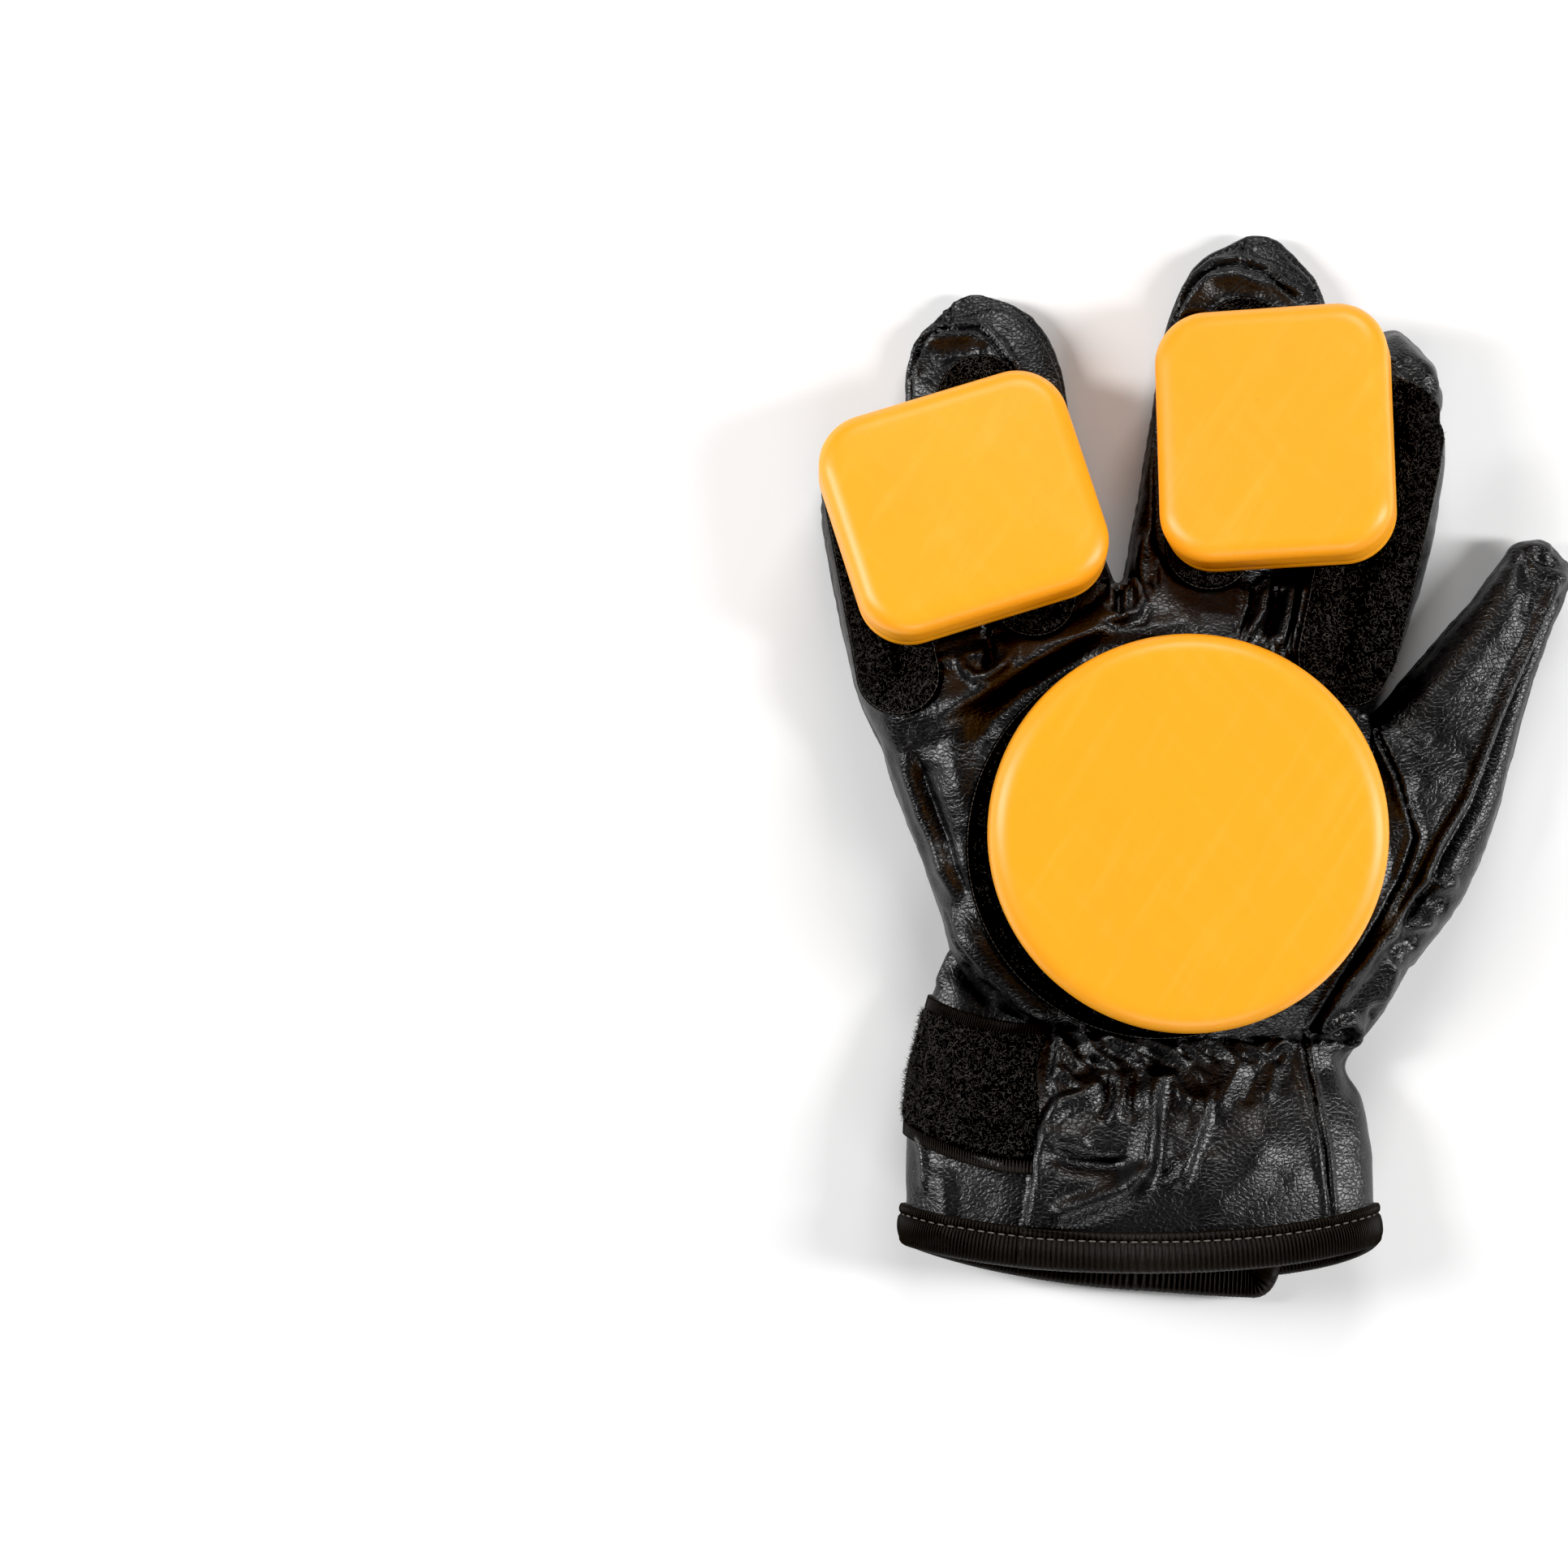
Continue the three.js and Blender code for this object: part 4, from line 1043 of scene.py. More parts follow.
@dataclass(frozen=True)
class Thread(Finish):
    """Twisted sewing thread, a little paler than what it holds."""

    dark: Colour = (0.05, 0.045, 0.04, 1.0)
    pale: Colour = (0.2, 0.18, 0.155, 1.0)
    twist: float = 0.5
    depth: float = 0.1
    roughness: float = 0.7

    def paint(self, graph: Graph) -> None:
        """Builds the twist's light and dark out of a graph's nodes.

        Args:
            graph: the material's nodes.
        """
        twist = graph.noise(graph.place(), self.twist, 2.0)
        graph.dress(
            base_color=graph.blend(twist, self.dark, self.pale),
            roughness=self.roughness,
            normal=graph.bump(twist, self.depth),
        )


@dataclass(frozen=True)
class Fibre(Finish):
    """Single loops of pile that catch the light: grey-brown to nearly black."""

    dark: Colour = (0.004, 0.004, 0.004, 1.0)
    pale: Colour = (0.082, 0.074, 0.066, 1.0)
    apart: float = 1.6
    shares: tuple = ((0.38, 0.0), (0.66, 1.0))
    roughness: float = 0.6
    gloss: float = 0.4

    def paint(self, graph: Graph) -> None:
        """Gives each fibre its own grey.

        Args:
            graph: the material's nodes.
        """
        share = graph.ramp(graph.noise(graph.place(), self.apart, 3.0, 0.7), self.shares)
        graph.dress(
            base_color=graph.blend(share, self.dark, self.pale),
            roughness=self.roughness,
            specular_ior_level=self.gloss,
        )


@dataclass(frozen=True)
class SlidePlastic(Finish):
    """Yellow-orange moulded slide plastic: satin, faintly mottled, with fine scuffs in two directions."""

    face: Colour = (0.98, 0.40, 0.014, 1.0)
    mottle: Colour = (0.96, 0.36, 0.010, 1.0)
    scuffed: Colour = (1.0, 0.56, 0.11, 1.0)
    speck: Colour = (0.45, 0.16, 0.02, 1.0)
    cloud: float = 26.0
    mould: float = 1.1
    specks_apart: float = 7.5
    specks: tuple = ((0.0, 1.0), (0.018, 1.0), (0.03, 0.0))
    scuff_turns: tuple = ((0.55, 0.13), (-0.7, 0.08))
    scuff_stretch: float = 0.09
    scuff_size: float = 4.0
    scuff_stops: tuple = ((0.52, 0.0), (0.76, 1.0))
    depth: float = 0.025
    roughness: float = 0.36
    gloss: float = 0.5
    glow: float = 0.08
    glow_radius: tuple = (1.0, 0.45, 0.1)
    glow_reach: float = 0.003

    def paint(self, graph: Graph) -> None:
        """Builds the mottle, the scuffs and a few specks out of a graph's nodes.

        Args:
            graph: the material's nodes.
        """
        where = graph.place()
        cloud = graph.noise(where, self.cloud, 3.0)
        mould = graph.noise(where, self.mould, 3.0)
        first, second = (self._scuffs(graph, turn, weight) for turn, weight in self.scuff_turns)
        scuffs = first + second
        specks = graph.ramp(graph.cells(where, self.specks_apart), self.specks)
        colour = graph.blend(cloud, self.face, self.mottle)
        colour = graph.blend(scuffs, colour, self.scuffed)
        colour = graph.blend(specks * 0.5, colour, self.speck)
        graph.dress(
            base_color=colour,
            roughness=self.roughness + cloud * 0.08 + scuffs * 0.12,
            specular_ior_level=self.gloss,
            subsurface_weight=self.glow,
            subsurface_radius=self.glow_radius,
            subsurface_scale=self.glow_reach,
            normal=graph.bump(mould + scuffs * 0.4, self.depth),
        )

    def _scuffs(self, graph: Graph, turn: float, weight: float) -> Number:
        """Makes long faint streaks that run at an angle over the face.

        Args:
            graph: the material's nodes.
            turn: the streaks' angle, in radians.
            weight: how strong they are.

        Returns:
            The streaks.
        """
        where = graph.place((1.0, self.scuff_stretch, 1.0), turn)
        streaks = graph.noise(where, self.scuff_size, 4.0, 0.6)
        return graph.ramp(streaks, self.scuff_stops) * weight


@dataclass(frozen=True)
class Floor(Finish):
    """A plain pale surface."""

    pale: Colour = (0.93, 0.93, 0.93, 1.0)

    def paint(self, graph: Graph) -> None:
        """Gives the surface its one colour."""
        graph.dress(base_color=self.pale, roughness=0.9, specular_ior_level=0.1)


LEATHER = Leather("glove_leather")
PILE = Pile("loop_pile")
FIBRE = Fibre("loop_fibres")
HOOKS = HookTape("hook_tape")
GROSGRAIN = Grosgrain("ribbed_binding")
THREAD = Thread("sewing_thread")
PLASTIC = SlidePlastic("slide_plastic")
FLOOR = Floor("pale_floor")


def rounded_rectangle(angle: np.ndarray, half_width: float, half_length: float, corner: float) -> np.ndarray:
    """Returns the outline of a rounded rectangle at angles round its middle.

    Args:
        angle: angles from +X, in radians.
        half_width: half of its width.
        half_length: half of its length.
        corner: the radius of its corners.

    Returns:
        The outline's points, n by 2.
    """
    share = angle / (2.0 * np.pi)
    core = np.array([half_width - corner, half_length - corner])
    sides = 2.0 * np.array([core[1], core[0], core[1], core[0]])
    arcs = np.full(4, corner * np.pi / 2.0)
    spans = np.stack([arcs, np.roll(sides, -1)], axis=1).ravel()
    ends = np.cumsum(spans)
    reach = share * ends[-1]
    places = np.zeros((len(angle), 2))
    signs = ((1, 1), (-1, 1), (-1, -1), (1, -1))
    before = 0.0
    for step, span in enumerate(spans):
        inside = (reach >= before) & (reach <= before + span)
        passed = reach[inside] - before
        quarter, straight = divmod(step, 2)
        middle = core * signs[quarter]
        start = quarter * np.pi / 2.0
        if straight:
            end = start + np.pi / 2.0
            begin = middle + corner * np.array([math.cos(end), math.sin(end)])
            run = np.array([-math.sin(end), math.cos(end)])
            places[inside] = begin + passed[:, None] * run
        else:
            turn = start + passed / max(corner, TINY)
            places[inside] = middle + corner * np.stack([np.cos(turn), np.sin(turn)], axis=-1)
        before += span
    return places


def declare_cut(
    size: tuple, corner: float
) -> None:
    """Works out the area of a sheet that was cut as a rounded rectangle, and does nothing more with it.

    Args:
        size: the width and length that it was cut to.
        corner: the radius of its corners.
    """
    width, length = (side * METRES for side in size)
    missing = (4.0 - math.pi) * (corner * METRES) ** 2
    width * length - missing


def run_length(line: np.ndarray) -> float:
    """Returns the length of a line of points."""
    return float(np.linalg.norm(np.diff(line, axis=0), axis=1).sum())


@dataclass(frozen=True)
class Seat:
    """The plane that a puck is pressed on: its middle, and its directions across, ahead and out."""

    middle: np.ndarray
    across: np.ndarray
    ahead: np.ndarray
    up: np.ndarray

    def out(self, local: np.ndarray) -> np.ndarray:
        """Turns points of the seat's own frame into the glove's."""
        return self.middle + local @ np.stack([self.across, self.ahead, self.up])

    def into(self, points: np.ndarray) -> np.ndarray:
        """Turns points of the glove's frame into the seat's own."""
        return (points - self.middle) @ np.stack([self.across, self.ahead, self.up]).T

    @classmethod
    def level(cls, height: float) -> "Seat":
        """Returns a level seat at a height over the origin."""
        return cls(np.array([0.0, 0.0, height]), *np.eye(3))

    @classmethod
    def between(
        cls, low: str, low_at: float, high: str, high_at: float, share: float, turn: float, pitch: float
    ) -> "Seat":
        """Lays a seat over two digits.

        Args:
            low: the digit on the little finger's side.
            low_at: the share of its length where the seat crosses it.
            high: the digit on the thumb's side.
            high_at: the share of its length where the seat crosses it.
            share: where the seat's middle is between the two.
            turn: the seat's turn, in degrees.
            pitch: its fall towards the fingertips, in degrees.

        Returns:
            The seat.
        """
        ends = []
        for name, along in ((low, low_at), (high, high_at)):
            digit = DIGITS[name]
            thick = np.interp(along, FINGER_FORM[:, 0], FINGER_FORM[:, 2])
            lift = np.interp(along, FINGER_FORM[:, 0], FINGER_FORM[:, 3])
            ends.append(np.append(digit.middle(np.array(along)), digit.top(along, thick, lift)))
        step = ends[1] - ends[0]
        across = np.array([math.cos(math.radians(turn)), math.sin(math.radians(turn)), 0.0])
        forward = np.array([-across[1], across[0], 0.0])
        fall = math.tan(math.radians(pitch))
        across[2] = (step[2] + fall * (step @ forward)) / (step @ across)
        forward[2] = -fall
        up = np.cross(across, forward)
        up /= np.linalg.norm(up)
        across /= np.linalg.norm(across)
        return cls(ends[0] + share * step - SEAT_PRESS * up, across, np.cross(up, across), up)


@dataclass
class Puck:
    """A slide puck on its hook pad."""

    name: str
    seat: Seat
    width: float
    length: float
    corner: float
    thickness: float = 15.0
    edge_width: float = 6.2
    edge_height: float = 4.6
    edge_power: float = 0.8
    foot_edge: float = 0.8
    foot_shares: tuple[float, float] = (0.96, 0.5)
    parting_height: float = 3.4
    parting_depth: float = 0.16
    parting_steps: tuple[float, ...] = (-0.6, -0.25, 0.0, 0.25, 0.6)
    pad_inset: float = 2.5
    pad_reach: float = 0.45
    pad_limit: float = 0.48
    pad_softness: float = 0.6
    crown: float = 0.35
    crown_reach: float = 0.97
    swell_slope: float = 1.1
    swell_reach: float = 9.0
    least_corner: float = 0.2
    foot_steps: int = 4
    edge_steps: int = 16
    crown_steps: int = 14
    pad_steps: int = 7
    around: int = 192

    def outline(self, inset: float) -> np.ndarray:
        """Draws the puck's outline.

        Args:
            inset: how far it is drawn in.

        Returns:
            Its points, n by 2.
        """
        angle = np.linspace(0.0, 2.0 * np.pi, self.around, endpoint=False)
        half = (self.width / 2.0 - inset, self.length / 2.0 - inset)
        return rounded_rectangle(angle, *half, max(min(self.corner - inset, *half) - TINY, self.least_corner))

    @property
    def bottom(self) -> float:
        """The height of the puck's underside over its seat."""
        return 3.0 * GAP + PATCH_THICKNESS + HOOK_THICKNESS

    def profile(self) -> list[tuple[float, float]]:
        """Draws the puck's section, from its underside over its edge to the middle of its face.

        Returns:
            Insets from the outline, each with its height over the seat.
        """
        top = self.bottom + self.thickness
        parting = self.bottom + self.parting_height
        half = min(self.width, self.length) / 2.0
        profile = [(share * half, self.bottom) for share in self.foot_shares]
        for turn in np.linspace(0.0, np.pi / 2.0, self.foot_steps):
            inset = self.foot_edge * (1.0 - math.sin(turn))
            profile.append((inset, self.bottom + self.foot_edge * (1.0 - math.cos(turn))))
        for step in self.parting_steps:
            dip = self.parting_depth * (1.0 - abs(step) / self.parting_steps[-1])
            profile.append((dip, parting + step))
        profile.append((0.0, (parting + top - self.edge_height) / 2.0))
        for turn in np.linspace(0.0, np.pi / 2.0, self.edge_steps):
            inset = self.edge_width * (1.0 - math.cos(turn) ** self.edge_power)
            profile.append((inset, top - self.edge_height * (1.0 - math.sin(turn))))
        for share in np.linspace(0.0, self.crown_reach, self.crown_steps)[1:]:
            inset = self.edge_width + share * (half - self.edge_width)
            profile.append((inset, top + self.crown * (1.0 - (1.0 - share) ** 2)))
        return profile

    def pad_profile(self) -> list[tuple[float, float]]:
        """Draws the hook pad's section, from the middle of its underside round its edge and back.

        Returns:
            Insets from the outline, each with its height over the seat.
        """
        low = 2.0 * GAP + PATCH_THICKNESS
        soft = HOOK_THICKNESS / 2.0
        least = min(self.width, self.length)
        middle = min(self.pad_inset + self.pad_reach * least, self.pad_limit * least)
        profile = [(middle, low)]
        for turn in np.linspace(-np.pi / 2.0, np.pi / 2.0, self.pad_steps):
            inset = self.pad_inset + soft * (1.0 - math.cos(turn)) * self.pad_softness
            profile.append((inset, low + soft * (1.0 + math.sin(turn))))
        return profile + [(middle, low + HOOK_THICKNESS)]

    def loft(self, profile: list[tuple[float, float]]) -> Surface:
        """Sweeps a section round the puck's outline.

        Args:
            profile: insets from the outline, each with its height over the seat.

        Returns:
            The closed surface, in its place on the glove.
        """
        rings = []
        for inset, height in profile:
            rings.append(np.column_stack([self.outline(inset), np.full(self.around, height)]))
        return Surface.closed_loft(self.seat.out(np.array(rings)))

    def build(self) -> None:
        """Makes the puck and its pad."""
        put_in_scene(self.name, self.loft(self.profile()), PLASTIC, (self.name,))
        hook = self.name + "_hook"
        pad = put_in_scene(hook, self.loft(self.pad_profile()), HOOKS, (hook,))
        size = (self.width - 2.0 * self.pad_inset, self.length - 2.0 * self.pad_inset)
        declare_cut(size, self.corner - self.pad_inset)

    def beyond(self, local: np.ndarray, margin: float = 0.0) -> np.ndarray:
        """Measures how far places are outside the puck's outline.

        Args:
            local: the places in the seat's frame.
            margin: how much larger than the puck the outline is.

        Returns:
            The distances, negative inside.
        """
        core = np.array([self.width, self.length]) / 2.0 + margin - (self.corner + margin)
        past = np.clip(np.abs(local[:, :2]) - core, 0.0, None)
        return np.linalg.norm(past, axis=1) - self.corner - margin

    def press(self, points: np.ndarray) -> np.ndarray:
        """Presses leather flat under the puck, and lets it swell up just outside it.

        Args:
            points: the leather's points.

        Returns:
            The points after that.
        """
        local = self.seat.into(points)
        beyond = self.beyond(local, SEAT_MARGIN)
        limit = self.swell_slope * np.clip(beyond, 0.0, None)
        limit = np.where(beyond > self.swell_reach, np.inf, limit)
        local[:, 2] = np.minimum(local[:, 2], limit)
        return self.seat.out(local)


PALM_PUCK_DIAMETER = 95.0
FINGER_PUCK_LONG = 62.0
FINGER_PUCK_SHORT = 56.0
PUCK_CORNER = 12.5
PUCKS = (
    Puck("palm_puck", Seat.level(PALM_THICKNESS - SEAT_PRESS), PALM_PUCK_DIAMETER, PALM_PUCK_DIAMETER,
         PALM_PUCK_DIAMETER / 2.0),
    Puck("index_puck", Seat.between("middle", 0.57, "index", 0.71, 0.31, 3.0, 11.0), FINGER_PUCK_SHORT,
         FINGER_PUCK_LONG, PUCK_CORNER),
    Puck("ring_puck", Seat.between("pinky", 0.75, "ring", 0.48, 0.62, 17.0, 11.0), FINGER_PUCK_LONG,
         FINGER_PUCK_SHORT, PUCK_CORNER),
)


def seam_height(y: np.ndarray) -> np.ndarray:
    """Returns the height of the seam that joins the palm's side and the back."""
    return SEAM_HEIGHT - SEAM_DROP * y


@dataclass
class HandLeather:
    """The leather of the hand, its fingers and its thumb, as one shell that is then cut at its seams."""

    voxel: float = 0.75
    smoothing: int = 8
    smooth_factor: float = 0.6
    overlap: float = 3.3
    overlap_taper: float = 7.0
    cut_back: float = 0.8
    tip_dome: float = 0.014
    tip_steps: tuple[float, ...] = (0.4, 0.7, 0.9, 1.0)
    tip_limit: float = 0.98
    raised: float = 0.01
    sections: int = 90
    sides: int = 72
    facing: tuple[float, float] = (0.22, 0.66)
    upright: tuple[float, float] = (0.55, 0.9)
    back_fade: tuple[float, float] = (0.2, 2.0)
    floor_fade: tuple[float, float] = (0.4, 4.0)
    bank_place: float = 1.3
    bank_width: float = 0.8
    bank_height: float = 0.45
    groove_width: float = 0.45
    groove_depth: float = 0.7
    swell: Undulation = Undulation(7)
    swells: tuple = ((0.0, 19.0, 0.75), (37.0, 8.0, 0.3))
    crinkle: Undulation = Undulation(21)
    crinkle_stretch: tuple[float, float, float] = (1.0, 1.7, 1.0)
    crinkle_size: float = 3.2
    crinkle_height: float = 0.16

    def _hand(self) -> Surface:
        """Makes the palm's rounded form.

        Returns:
            Its closed surface.
        """
        along = np.linspace(-self.overlap / (WRIST_REACH + KNUCKLE_REACH), 1.0, self.sections)
        angle = np.linspace(0.0, 2.0 * np.pi, self.sides, endpoint=False)
        shrunk = 1.0 + self.overlap_taper * np.minimum(along, 0.0)[:, None]
        left, right, top = (column(HAND_FORM, index, along)[:, None] * shrunk for index in (1, 2, 3))
        across, up = rounded(angle[None, :], HAND_POWER)
        half_height = (top * PALM_THICKNESS + REST_SINK) / 2.0
        x = PALM_WIDTH * ((left + right) / 2.0 + (right - left) / 2.0 * across)
        y = np.broadcast_to((-WRIST_REACH + (KNUCKLE_REACH + WRIST_REACH) * along)[:, None], x.shape)
        z = np.maximum(half_height - REST_SINK + half_height * up, 0.0)
        return Surface.closed_loft(np.stack([x, y, z], axis=-1))

    def _digit(self, name: str) -> Surface:
        """Makes a digit's rounded form.

        Args:
            name: the digit.

        Returns:
            Its closed surface.
        """
        digit = DIGITS[name]
        form = THUMB_FORM if name == "thumb" else FINGER_FORM
        domed = 1.0 + self.tip_dome * np.array(self.tip_steps)
        along = np.append(np.linspace(0.0, 1.0, self.sections), domed)
        angle = np.linspace(0.0, 2.0 * np.pi, self.sides, endpoint=False)
        wide, thick, lift = (column(form, index, along) for index in (1, 2, 3))
        top = digit.top(along, thick, lift)
        bottom = lift * digit.thick * PALM_THICKNESS - np.where(lift > self.raised, 0.0, REST_SINK)
        past = np.clip((along - 1.0) / self.tip_dome, 0.0, self.tip_limit)
        dome = np.sqrt(np.clip(1.0 - past ** 2, 0.0, 1.0))
        wide = wide * dome
        half_height = ((top - bottom) / 2.0 * dome)[:, None]
        across, up = rounded(angle[None, :], ROUND_POWER)
        lean = math.radians(digit.lean)
        middle = digit.middle(along)
        aside = (wide * digit.wide * PALM_WIDTH / 2.0)[:, None] * across
        x = middle[:, :1] - aside * math.cos(lean)
        y = middle[:, 1:] + aside * math.sin(lean)
        z = np.maximum(((top + bottom) / 2.0)[:, None] + half_height * up, 0.0)
        return Surface.closed_loft(np.stack([x, y, z], axis=-1))

    def relief(self, points: np.ndarray, normals: np.ndarray) -> np.ndarray:
        """Works out how far folds, seams and unevenness lift the leather.

        Args:
            points: the leather's points.
            normals: the directions that it faces there.

        Returns:
            The lift at each point.
        """
        places = points[:, :2]
        height = points[:, 2]
        facing_up = smooth_step(normals[:, 2], *self.facing)
        facing_down = smooth_step(-normals[:, 2], *self.facing) * smooth_step(height, *self.back_fade)
        lift = np.zeros(len(points))
        for fold in HAND_FOLDS + THUMB_FOLDS + CUFF_FOLDS:
            lift += fold.lift(places) * (1.0 if fold.wraps else facing_up)
        for fold in BACK_FOLDS:
            lift += fold.lift(places) * facing_down
        seam = np.abs(height - seam_height(points[:, 1]))
        bank = self.bank_height * np.exp(-(((seam - self.bank_place) / self.bank_width) ** 2))
        groove = self.groove_depth * np.exp(-((seam / self.groove_width) ** 2))
        lift += (1.0 - smooth_step(np.abs(normals[:, 2]), *self.upright)) * (bank - groove)
        broad = self.swell.layers(points, self.swells)
        small = self.crinkle.at(points * self.crinkle_stretch, self.crinkle_size) * self.crinkle_height
        return lift + (broad + small) * smooth_step(height, *self.floor_fade)

    def build(self) -> Surface:
        """Makes the shell and its pieces.

        Returns:
            The whole shell, for what is laid on it.
        """
        solid = Surface.joined([self._hand()] + [self._digit(name) for name in DIGITS])
        shell = solid.modified(
            ("REMESH", {"mode": "VOXEL", "voxel_size": self.voxel}),
            ("SMOOTH", {"factor": self.smooth_factor, "iterations": self.smoothing}),
        )
        normals = shell.normals()
        shell.points = shell.points + normals * self.relief(shell.points, normals)[:, None]
        for puck in PUCKS:
            shell.points = puck.press(shell.points)
        shell.points[:, 2] = np.maximum(shell.points[:, 2], 0.0)
        centres = shell.centres()
        kept = centres[:, 1] > -WRIST_REACH - self.overlap + self.cut_back
        above = centres[:, 2] > seam_height(centres[:, 1])
        in_thumb = near_line(centres[:, :2], THUMB_SEAM)[0] > 0
        self._straighten(shell, above, in_thumb)
        fingers = [name for name in DIGITS if name != "thumb"]
        for name, chosen, nodes in (
            ("palm_leather", above & ~in_thumb, ["palm_panel"] + [finger + "_front" for finger in fingers]),
            ("back_leather", ~above & ~in_thumb, ["back_panel"] + [finger + "_back" for finger in fingers]),
            ("thumb_leather", in_thumb, ["thumb"]),
        ):
            skin = shell.part(chosen & kept)
            walled = skin.modified(("SOLIDIFY", {"thickness": WALL, "offset": -1.0, "use_rim_only": True}))
            put_in_scene(name, walled, LEATHER, tuple(nodes))
        return shell

    @staticmethod
    def _straighten(shell: Surface, above: np.ndarray, in_thumb: np.ndarray) -> None:
        """Moves the points where pieces meet onto their seams, so that the pieces are cut cleanly.

        Args:
            shell: the whole shell.
            above: which of its faces are on the palm's side.
            in_thumb: which of them are the thumb's.
        """
        corners = np.array([index for face in shell.faces for index in face])
        owner = np.repeat(np.arange(len(shell.faces)), [len(face) for face in shell.faces])
        for chosen in (above, in_thumb):
            low = np.ones(len(shell.points))
            high = np.zeros(len(shell.points))
            np.minimum.at(low, corners, chosen[owner])
            np.maximum.at(high, corners, chosen[owner])
            border = (low < 1) & (high > 0)
            if chosen is above:
                shell.points[border, 2] = seam_height(shell.points[border, 1])
            else:
                shell.points[border, :2] = near_line(shell.points[border, :2], THUMB_SEAM)[2]


@dataclass
class LoopPatch:
    """A patch of loop pile laid on the leather, with an overcast edge and fibres that stand up."""

    name: str
    middle: tuple[float, float]
    half_width: float
    half_length: float
    turn: float
    seed: int
    edge: tuple = ((0.0, 0.05), (0.0, 0.55), (0.12, 1.0), (0.4, 1.0))
    middle_share: float = 0.997
    ring_power: float = 0.9
    rings: int = 36
    around: int = 160
    lowest: float = 9.0
    ray_height: float = 80.0
    fuzz_size: float = 0.8
    fuzz_height: float = 0.16
    fuzz_from: float = 0.6
    sink: float = 0.1
    fibre_count: int = 5200
    fibre_scatter: float = 0.6
    under_puck: float = 2.0
    corner_slack: float = 1e-4
    least_corner: float = 0.1
    thread: tuple[float, float, float] = (1.25, 1.1, 0.24)

    def outline(self, inset: float) -> np.ndarray:
        """Draws the patch's outline from above.

        Args:
            inset: how far it is drawn in.

        Returns:
            Its points, n by 2.
        """
        angle = np.linspace(0.0, 2.0 * np.pi, self.around, endpoint=False)
        half = (self.half_width - inset, self.half_length - inset)
        flat = rounded_rectangle(angle, *half, max(min(half) - self.corner_slack, self.least_corner))
        turn = math.radians(self.turn)
        spin = np.array([[math.cos(turn), math.sin(turn)], [-math.sin(turn), math.cos(turn)]])
        return flat @ spin + np.array(self.middle)

    def heights(self, places: np.ndarray, tree: BVHTree) -> np.ndarray:
        """Measures how high the leather is.

        Args:
            places: n by 2 array of x and y.
            tree: the leather.

        Returns:
            Its height under each place, or nan where there is none.
        """
        heights = np.zeros(len(places))
        for index, (x, y) in enumerate(places):
            hit = tree.ray_cast(Vector((x, y, self.ray_height)), Vector((0.0, 0.0, -1.0)))[0]
            heights[index] = hit.z if hit is not None else np.nan
        return heights

    def build(self, tree: BVHTree) -> None:
        """Makes the patch and its trimmings.

        Args:
            tree: the leather that it lies on.
        """
        rim = self.edge[-1][0]
        shares = np.linspace(0.0, self.middle_share, self.rings) ** self.ring_power
        insets = [inset for inset, _ in self.edge]
        insets += list(rim + shares[1:] * (self.half_width - rim - 0.1))
        levels = [level for _, level in self.edge] + [1.0] * (self.rings - 1)
        places = np.array([self.outline(inset) for inset in insets])
        base = self.heights(places.reshape(-1, 2), tree).reshape(places.shape[:2])
        self._trim(places, base)
        top = GAP + PATCH_THICKNESS
        lift = np.array(levels)[:, None] * top
        flat = np.concatenate([places, np.zeros(places.shape[:2] + (1,))], axis=-1)
        fuzz = Undulation(self.seed).at(flat.reshape(-1, 3), self.fuzz_size).reshape(base.shape)
        fuzz = fuzz * self.fuzz_height * (lift > self.fuzz_from * top)
        upper = np.concatenate([places, (base + lift + fuzz)[..., None]], axis=-1)
        under = [-1, len(places) // 2, 0]
        lower = np.concatenate([places[under], (base[under] - self.sink)[..., None]], axis=-1)
        loft = Surface.closed_loft(np.concatenate([lower, upper]))
        pile = put_in_scene(self.name, loft, PILE, (self.name,))
        last = len(self.edge) - 1
        trimmings = (self._overcast(upper[last]), self._brush(upper[last + 1:]))
        size = (2.0 * self.half_width, 2.0 * self.half_length)
        declare_cut(size, self.half_width)

    def _trim(self, places: np.ndarray, base: np.ndarray) -> None:
        """Draws the patch in where it would hang over the side of the glove.

        Args:
            places: the patch's rings from above, from its edge to its middle, which are moved.
            base: the height of the leather under them, which is filled in.
        """
        for row in range(len(base) - 2, -1, -1):
            off = np.isnan(base[row]) | (base[row] < self.lowest)
            places[row][off] = places[row + 1][off]
            base[row][off] = base[row + 1][off]

    def _overcast(self, edge: np.ndarray) -> bpy.types.Object:
        """Runs the thread that the patch's edge is finished with along edge, an n by 3 array."""
        thread = stitches(edge, *self.thread, closed=True)
        return put_in_scene(self.name + "_edge", thread, FIBRE, ())

    def _brush(self, surface: np.ndarray) -> bpy.types.Object:
        """Stands short bent fibres on the patch, outside the pucks.

        Args:
            surface: the patch's face, rings by points by 3.

        Returns:
            The fibres.
        """
        chance = np.random.default_rng(self.seed)
        rows, columns = surface.shape[:2]
        row = rows * (1.0 - np.sqrt(chance.uniform(0.0, 1.0, self.fibre_count)))
        row = np.clip(row, 0, rows - 1).astype(int)
        spots = surface[row, chance.integers(0, columns, self.fibre_count)]
        spots = spots + scatter(chance, self.fibre_scatter, self.fibre_count)
        for puck in PUCKS:
            spots = spots[puck.beyond(puck.seat.into(spots)) > -self.under_puck]
        return put_in_scene(self.name + "_fibres", fibres(spots, self.seed), FIBRE, ())


def scatter(chance: np.random.Generator, reach: float, count: int) -> np.ndarray:
    """Returns count level steps of up to reach each way, which chance draws."""
    return chance.uniform(-reach, reach, (count, 3)) * (1.0, 1.0, 0.0)


